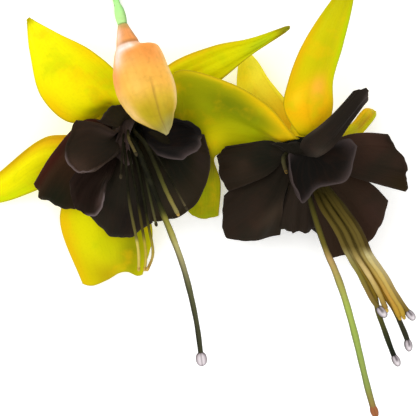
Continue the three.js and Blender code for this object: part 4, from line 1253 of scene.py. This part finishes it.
def stamensPieces(bloom):
    name, mouth, axis = bloom["name"], bloom["mouth"], bloom["axis"]
    (inner, outer), low, high = filament["ring"], spray["clearance"], filament["ringHeight"]
    profile = [(inner, low), (outer, low), (outer, high), (inner, high), (inner, low)]
    ring, ringFaces = turnedMesh(profile, filament["ringSides"], mouth, axis)
    threads = [(ring, ringFaces, plain(filament["ringPaint"], ring))]
    heads = []
    for k, plan in enumerate(bloom["filaments"]):
        out = spoke(bloom, 2 * math.pi * k / len(bloom["filaments"]))
        base = mouth + axis * filament["depth"] + out * filament["circle"]
        points = np.vstack([base, base + axis * filament["lead"], plan["path"]])
        head = plan.get("head", bloom["head"])
        start = 1 - anther["length"] * head["size"] / curveLength(points)
        radius = filament["radius"] * plan.get("slim", 1.0) * bloom["girth"]
        threads.append(filamentMesh(points, plan, radius, start, k))
        heads.append(antherMesh(points, head, radius, start))
    for kind, meshes in (("filaments", threads), ("anthers", heads)):
        vertices, faces, colours = merged(meshes)
        newPiece(f"{name}_{kind}", vertices, faces, "filament", [name + "_stamens"], colours)


pistil = {
    # sideShade is how strongly painted shade darkens the style's two sides
    "radius": 0.62, "sides": 16, "sideShade": 0.45, "lead": 5,
    "stigmaLength": 3.6, "stigmaRadius": 1.2, "stigmaSides": 32, "lobes": 4, "lobeDepth": 0.22,
}


def pistilPieces(bloom):
    name, mouth, axis = bloom["name"], bloom["mouth"], bloom["axis"]
    style, stigma = bloom["style"], bloom["stigma"]
    points = np.vstack([mouth + axis * spray["clearance"], mouth + axis * pistil["lead"], style["path"]])
    start = 1 - pistil["stigmaLength"] / curveLength(points)
    width = lambda u: pistil["radius"] * np.interp(u, [0, 0.35, 0.5, 1], style["girth"])
    thick = lambda u, angle: width(u) * (1 + 0.06 * math.sin(u * 47) * math.sin(u * 19 + 1))
    stations = np.linspace(0, start + (1 - start) * 0.3, 140)
    vertices, faces, _, turns = tubeMesh(points, thick, pistil["sides"], stations)
    colours = downStops(style["paint"], vertices, turns, pistil["sideShade"])
    newPiece(name + "_style", vertices, faces, "style", [name + "_pistil"], colours)
    places = np.concatenate([[0.02, 0.05], np.linspace(0.09, 0.92, 16), [0.97, 0.995]])
    wide = pistil["stigmaRadius"] * stigma["girth"]
    swell = swollen(start, width(1.0), wide, pistil["lobes"], pistil["lobeDepth"])
    vertices, faces, u, turns = tubeMesh(points, swell, pistil["stigmaSides"], start + (1 - start) * places)
    # painted shade: darker in the grooves between the lobes, along both sides and at both ends
    groove = np.exp(-((np.sin(turns * 2) / 0.3) ** 2)) * 0.35 + np.abs(np.cos(turns)) ** 2.4 * 0.8
    ends = np.clip(np.abs((u - start) / (1 - start) - 0.5) * 2, 0, 1) ** 6
    colours = blended(stigma["skin"], stigma["seam"], np.clip(groove + ends, 0, 1)[:, None])
    newPiece(name + "_stigma", vertices, faces, "style", [name + "_pistil"], colours)


stalk = {"radius": 0.75, "sides": 24, "ovaryLength": 5.2, "ovaryRadius": 1.55, "shade": (60, 110, 56)}


def stalkPiece(name, node, plan, tubeEnd, direction):
    # a flower stalk that swells into the ovary just behind the tube
    ovaryEnd = tubeEnd - direction * spray["clearance"]
    points = np.vstack([plan["path"], ovaryEnd - direction * stalk["ovaryLength"], ovaryEnd])
    start = 1 - stalk["ovaryLength"] / curveLength(points)

    def thick(u, angle):
        k = max(0.0, (u - start) / (1 - start))
        swell = math.sin(math.pi * min(k * 0.82, 1)) ** 0.8 * (1 + 0.03 * math.cos(4 * angle))
        return stalk["radius"] + (stalk["ovaryRadius"] * plan["plump"] - stalk["radius"]) * swell

    stations = np.concatenate([np.linspace(0, start, 40)[:-1], np.linspace(start, 1, 24)])
    vertices, faces, u, turns = tubeMesh(points, thick, stalk["sides"], stations)
    # painted shade: one side of the stalk darkens towards the shade colour
    dark = np.clip(-np.cos(turns), 0, 1)[:, None] ** 2 * 0.7
    colours = blended(colourStops(plan["paint"], u), stalk["shade"], dark)
    newPiece(name, vertices, faces, "stalk", [node], colours)


bud = {
    "line": np.array([
        [-20.4, 43.7, 25], [-19.3, 39.4, 26.5], [-18.4, 36.7, 27.3], [-16.9, 33.8, 28.2], [-15.1, 28.8, 29],
        [-13.9, 24.7, 29.5], [-12.3, 20.9, 29.7], [-9.7, 17.4, 29.7],
    ]),
    "sides": 128,
    "places": [
        0, 0.08, 0.15, 0.178, 0.19, 0.215, 0.26, 0.31, 0.371, 0.46, 0.557, 0.63, 0.705, 0.78, 0.849, 0.92,
        0.97, 1,
    ],
    "leftHalf": [1.2, 2.0, 2.6, 2.8, 2.9, 3.5, 4.3, 5.4, 6.2, 6.8, 7.0, 6.8, 5.9, 4.9, 2.9, 1.3, 0.6, 0.25],
    "rightHalf": [
        1.2, 2.0, 2.7, 2.8, 2.9, 3.5, 5.7, 6.8, 6.9, 6.8, 7.1, 7.1, 6.85, 6.25, 5.4, 3.9, 2.2, 0.25,
    ],
    "depthShare": 0.92, "seamAt": math.radians(255), "seamDepth": 0.16, "seamWidth": 0.07,
    "paint": [
        (0, (196, 170, 100)), (0.03, (206, 152, 84)), (0.07, (240, 158, 92)), (0.155, (246, 160, 86)),
        (0.182, (184, 118, 66)), (0.2, (244, 196, 164)), (0.24, (250, 190, 144)), (0.32, (248, 162, 80)),
        (0.45, (252, 180, 80)), (0.6, (250, 188, 78)), (0.72, (218, 180, 52)), (0.84, (182, 156, 34)),
        (0.94, (150, 138, 66)), (1, (170, 158, 104)),
    ],
    # the near-white spots at 0.235 and 0.29 are a painted highlight near the top of the bud's body, and the
    # pale spot along the right side at 0.62 is a painted highlight on that edge
    "spots": [
        (0.235, -0.5, 0.035, 0.45, (255, 238, 230)), (0.235, 0.1, 0.035, 0.3, (255, 238, 226)),
        (0.1, -0.8, 0.08, 0.5, (252, 206, 178)), (0.29, -0.85, 0.1, 0.35, (254, 232, 222)),
        (0.8, -0.25, 0.1, 0.4, (182, 158, 24)), (0.1, 1.0, 0.1, 0.2, (176, 118, 74)),
        (0.33, 0.6, 0.1, 0.35, (249, 158, 74)), (0.42, -0.95, 0.2, 0.14, (248, 164, 90)),
        (0.75, -0.9, 0.14, 0.22, (244, 200, 120)), (0.62, 0.97, 0.3, 0.07, (246, 206, 134)),
        (0.55, -0.3, 0.12, 0.3, (253, 198, 92)),
    ],
    "seamPaint": (120, 84, 40),
    "stalk": {
        "path": [[-24.3, 60.7, 4], [-23.6, 56, 13], [-23, 52, 19.5]],
        "paint": [
            (0, (120, 160, 84)), (0.62, (150, 190, 120)), (0.8, (176, 246, 146)), (1, (196, 246, 156)),
        ],
        "plump": 0.85,
    },
}


def softened(halves, places):
    # a half outline of the bud, with its corners eased
    kernel = np.hanning(15)[1:-1] / np.hanning(15).sum()
    return np.convolve(np.pad(np.interp(places, bud["places"], halves), 6, "edge"), kernel, "valid")


def budPiece():
    # wide at once behind the tube, with the shoulder high on the right and a straight slope on the lower left
    fine = np.linspace(0, 1, 301)
    leftLine, rightLine = softened(bud["leftHalf"], fine), softened(bud["rightHalf"], fine)
    seams = [bud["seamAt"] + k * math.pi / 2 for k in range(4)]

    def radius(u, angle):
        left, right = np.interp(u, fine, leftLine), np.interp(u, fine, rightLine)
        level = math.cos(angle)
        flat = bud["depthShare"] + (1 - bud["depthShare"]) * level**2
        own = ((left + right) / 2 + (left - right) / 2 * level) * flat
        body = float(smooth((u - 0.17) / 0.1))
        away = [(angle - seam + math.pi) % (2 * math.pi) - math.pi for seam in seams]
        groove = sum(math.exp(-(turn / bud["seamWidth"]) ** 2) for turn in away)
        crease = 0.06 * math.sin(3 * angle + 7 * u) + 0.05 * math.sin(7 * angle - 5 * u)
        relief = body * (crease - bud["seamDepth"] * groove) * math.sin(math.pi * min(u, 0.97))
        return max(0.15, own + relief)

    spans = ((0, 0.14, 12), (0.145, 0.27, 26), (0.28, 0.93, 56), (0.937, 1, 16))
    stations = np.concatenate([np.linspace(*span) for span in spans])
    vertices, faces, u, turns = tubeMesh(bud["line"], radius, bud["sides"], stations)
    colours = spotted(colourStops(bud["paint"], u), u, -np.cos(turns), bud["spots"])
    fibres = np.sin(turns * 19 + 3 * np.sin(u * 7)) * np.sin(u * 23 + turns * 2)
    fibres = fibres + np.sin(turns * 31 + u * 11) * 0.6
    mottle = np.sin(turns * 5 + u * 17) * np.sin(u * 13 - turns * 3)
    colours = colours * (1 + np.outer(fibres * 0.013 + mottle * 0.022, [0.5, 1.0, 1.3]))
    seam = np.exp(-(((turns - bud["seamAt"]) / 0.045) ** 2)) * smooth((u - 0.5) / 0.15) * 0.36
    colours = blended(colours, bud["seamPaint"], seam[:, None])
    newPiece("bud_body", vertices, faces, "bud", ["bud"], colours)


stem = {
    "line": [[-36, 57, 1.4], [-24, 61, 3], [4, 65.5, 2.6], [36, 64.5, 3], [47, 61, 1.4]],
    "radius": 1.6, "sides": 32, "joints": (0.15, 0.86), "jointHeight": 0.35, "jointReach": 0.03,
    "paint": [
        (0, (150, 160, 96)), (0.13, (128, 142, 72)), (0.15, (150, 128, 78)), (0.5, (136, 150, 76)),
        (0.86, (150, 128, 78)), (1, (150, 160, 96)),
    ],
}


def stemPiece():
    # a cut length with two joints, where the stalks stand
    joint = lambda u, place: stem["jointHeight"] * math.exp(-(((u - place) / stem["jointReach"]) ** 2))
    first, second = stem["joints"]

    def radius(u, angle):
        return stem["radius"] * (1 + joint(u, first) + joint(u, second)) * (1 + 0.02 * math.sin(5 * angle))

    vertices, faces, u, _ = tubeMesh(stem["line"], radius, stem["sides"], np.linspace(0, 1, 160))
    newPiece("cut_stem", vertices, faces, "stem", ["stem"], colourStops(stem["paint"], u))


def bloomPieces(bloom):
    name = bloom["name"]
    for k, blade in enumerate(bloom["sepals"]):
        bladePiece(bloom, blade, sepalRoot, "sepal", k)
    for k, blade in enumerate(bloom["petals"]):
        circle = petalRoot["circle"] + petalRoot["circleStep"] * (k % 3)
        depth = petalRoot["depth"] + petalRoot["depthStep"] * (k % 4)
        bladePiece(bloom, blade, {**petalRoot, "circle": circle, "depth": depth}, "petal", k)
    tubePiece(bloom)
    throatPiece(bloom)
    tubeEnd = bloom["mouth"] - bloom["axis"] * tube["length"]
    stalkPiece(name + "_flower_stalk", name + "_stalk", bloom["stalk"], tubeEnd, bloom["axis"])
    print(name, "bloom made")


bloomPieces(leftBloom)
bloomPieces(rightBloom)
stamensPieces(leftBloom)
stamensPieces(rightBloom)
pistilPieces(leftBloom)
pistilPieces(rightBloom)
print("stamens and pistils made")
budPiece()
budAxis = unit(bud["line"][1] - bud["line"][0])
stalkPiece("bud_flower_stalk", "bud_stalk", bud["stalk"], bud["line"][0], budAxis)
stemPiece()
print("all pieces made")

# table, light and camera
studio = {
    "floorSize": 3.0, "floorColour": (0.97, 0.97, 0.965), "floorPatches": (0.9, 0.9, 0.89),
    "patchShare": 0.04,
    "floorGlow": 0.35,  # how strongly the table itself shines, which lights the spray a little from below
    "worldStrength": 0.86,
    "keyPower": 3.2, "keySize": 0.9, "keyPlace": (-0.55, 0.35, 1.0),
    "fillPower": 1.6, "fillSize": 1.2, "fillPlace": (0.7, -0.4, 0.9),
    "cameraHeight": 0.578, "lens": 200.0, "sensor": 36.0,
}


def tableTop():
    f = Finish("table")
    patches = f.noise(f.place(), 3.0, 2.0) * studio["patchShare"]
    material = f.done({
        "Base Color": f.mix(patches, studio["floorColour"], studio["floorPatches"]),
        "Roughness": 0.85,
        "Specular IOR Level": 0.1,
        "Emission Color": (1.0, 1.0, 0.995),
        "Emission Strength": studio["floorGlow"],
    })
    mesh = bpy.data.meshes.new("table_top")
    h = studio["floorSize"]
    mesh.from_pydata([(-h, -h, 0), (h, -h, 0), (h, h, 0), (-h, h, 0)], [], [(0, 1, 2, 3)])
    mesh.materials.append(material)
    floor = bpy.data.objects.new("table_top", mesh)
    bpy.context.scene.collection.objects.link(floor)


def lighting():
    # an even white surrounding, with two large lamps
    world = bpy.data.worlds.new("studio")
    world.use_nodes = True
    backdrop = world.node_tree.nodes["Background"]
    backdrop.inputs["Color"].default_value = (1, 1, 1, 1)
    backdrop.inputs["Strength"].default_value = studio["worldStrength"]
    bpy.context.scene.world = world
    for kind in ("key", "fill"):
        lamp = bpy.data.lights.new(kind, "AREA")
        lamp.energy = studio[kind + "Power"]
        lamp.size = studio[kind + "Size"]
        light = bpy.data.objects.new(kind, lamp)
        light.location = studio[kind + "Place"]
        light.rotation_euler = (-Vector(light.location)).to_track_quat("-Z", "Y").to_euler()
        bpy.context.scene.collection.objects.link(light)


def cameraAbove():
    lens = bpy.data.cameras.new("camera")
    lens.lens = studio["lens"]
    lens.sensor_width = studio["sensor"]
    lens.clip_start = 0.01
    camera = bpy.data.objects.new("camera", lens)
    x, y, _ = spray["middle"]
    camera.location = (x * 1e-3, y * 1e-3, studio["cameraHeight"])
    bpy.context.scene.collection.objects.link(camera)
    bpy.context.scene.camera = camera


tableTop()
lighting()
cameraAbove()
bpy.context.scene.view_settings.view_transform = "Standard"
print("table, light and camera set")
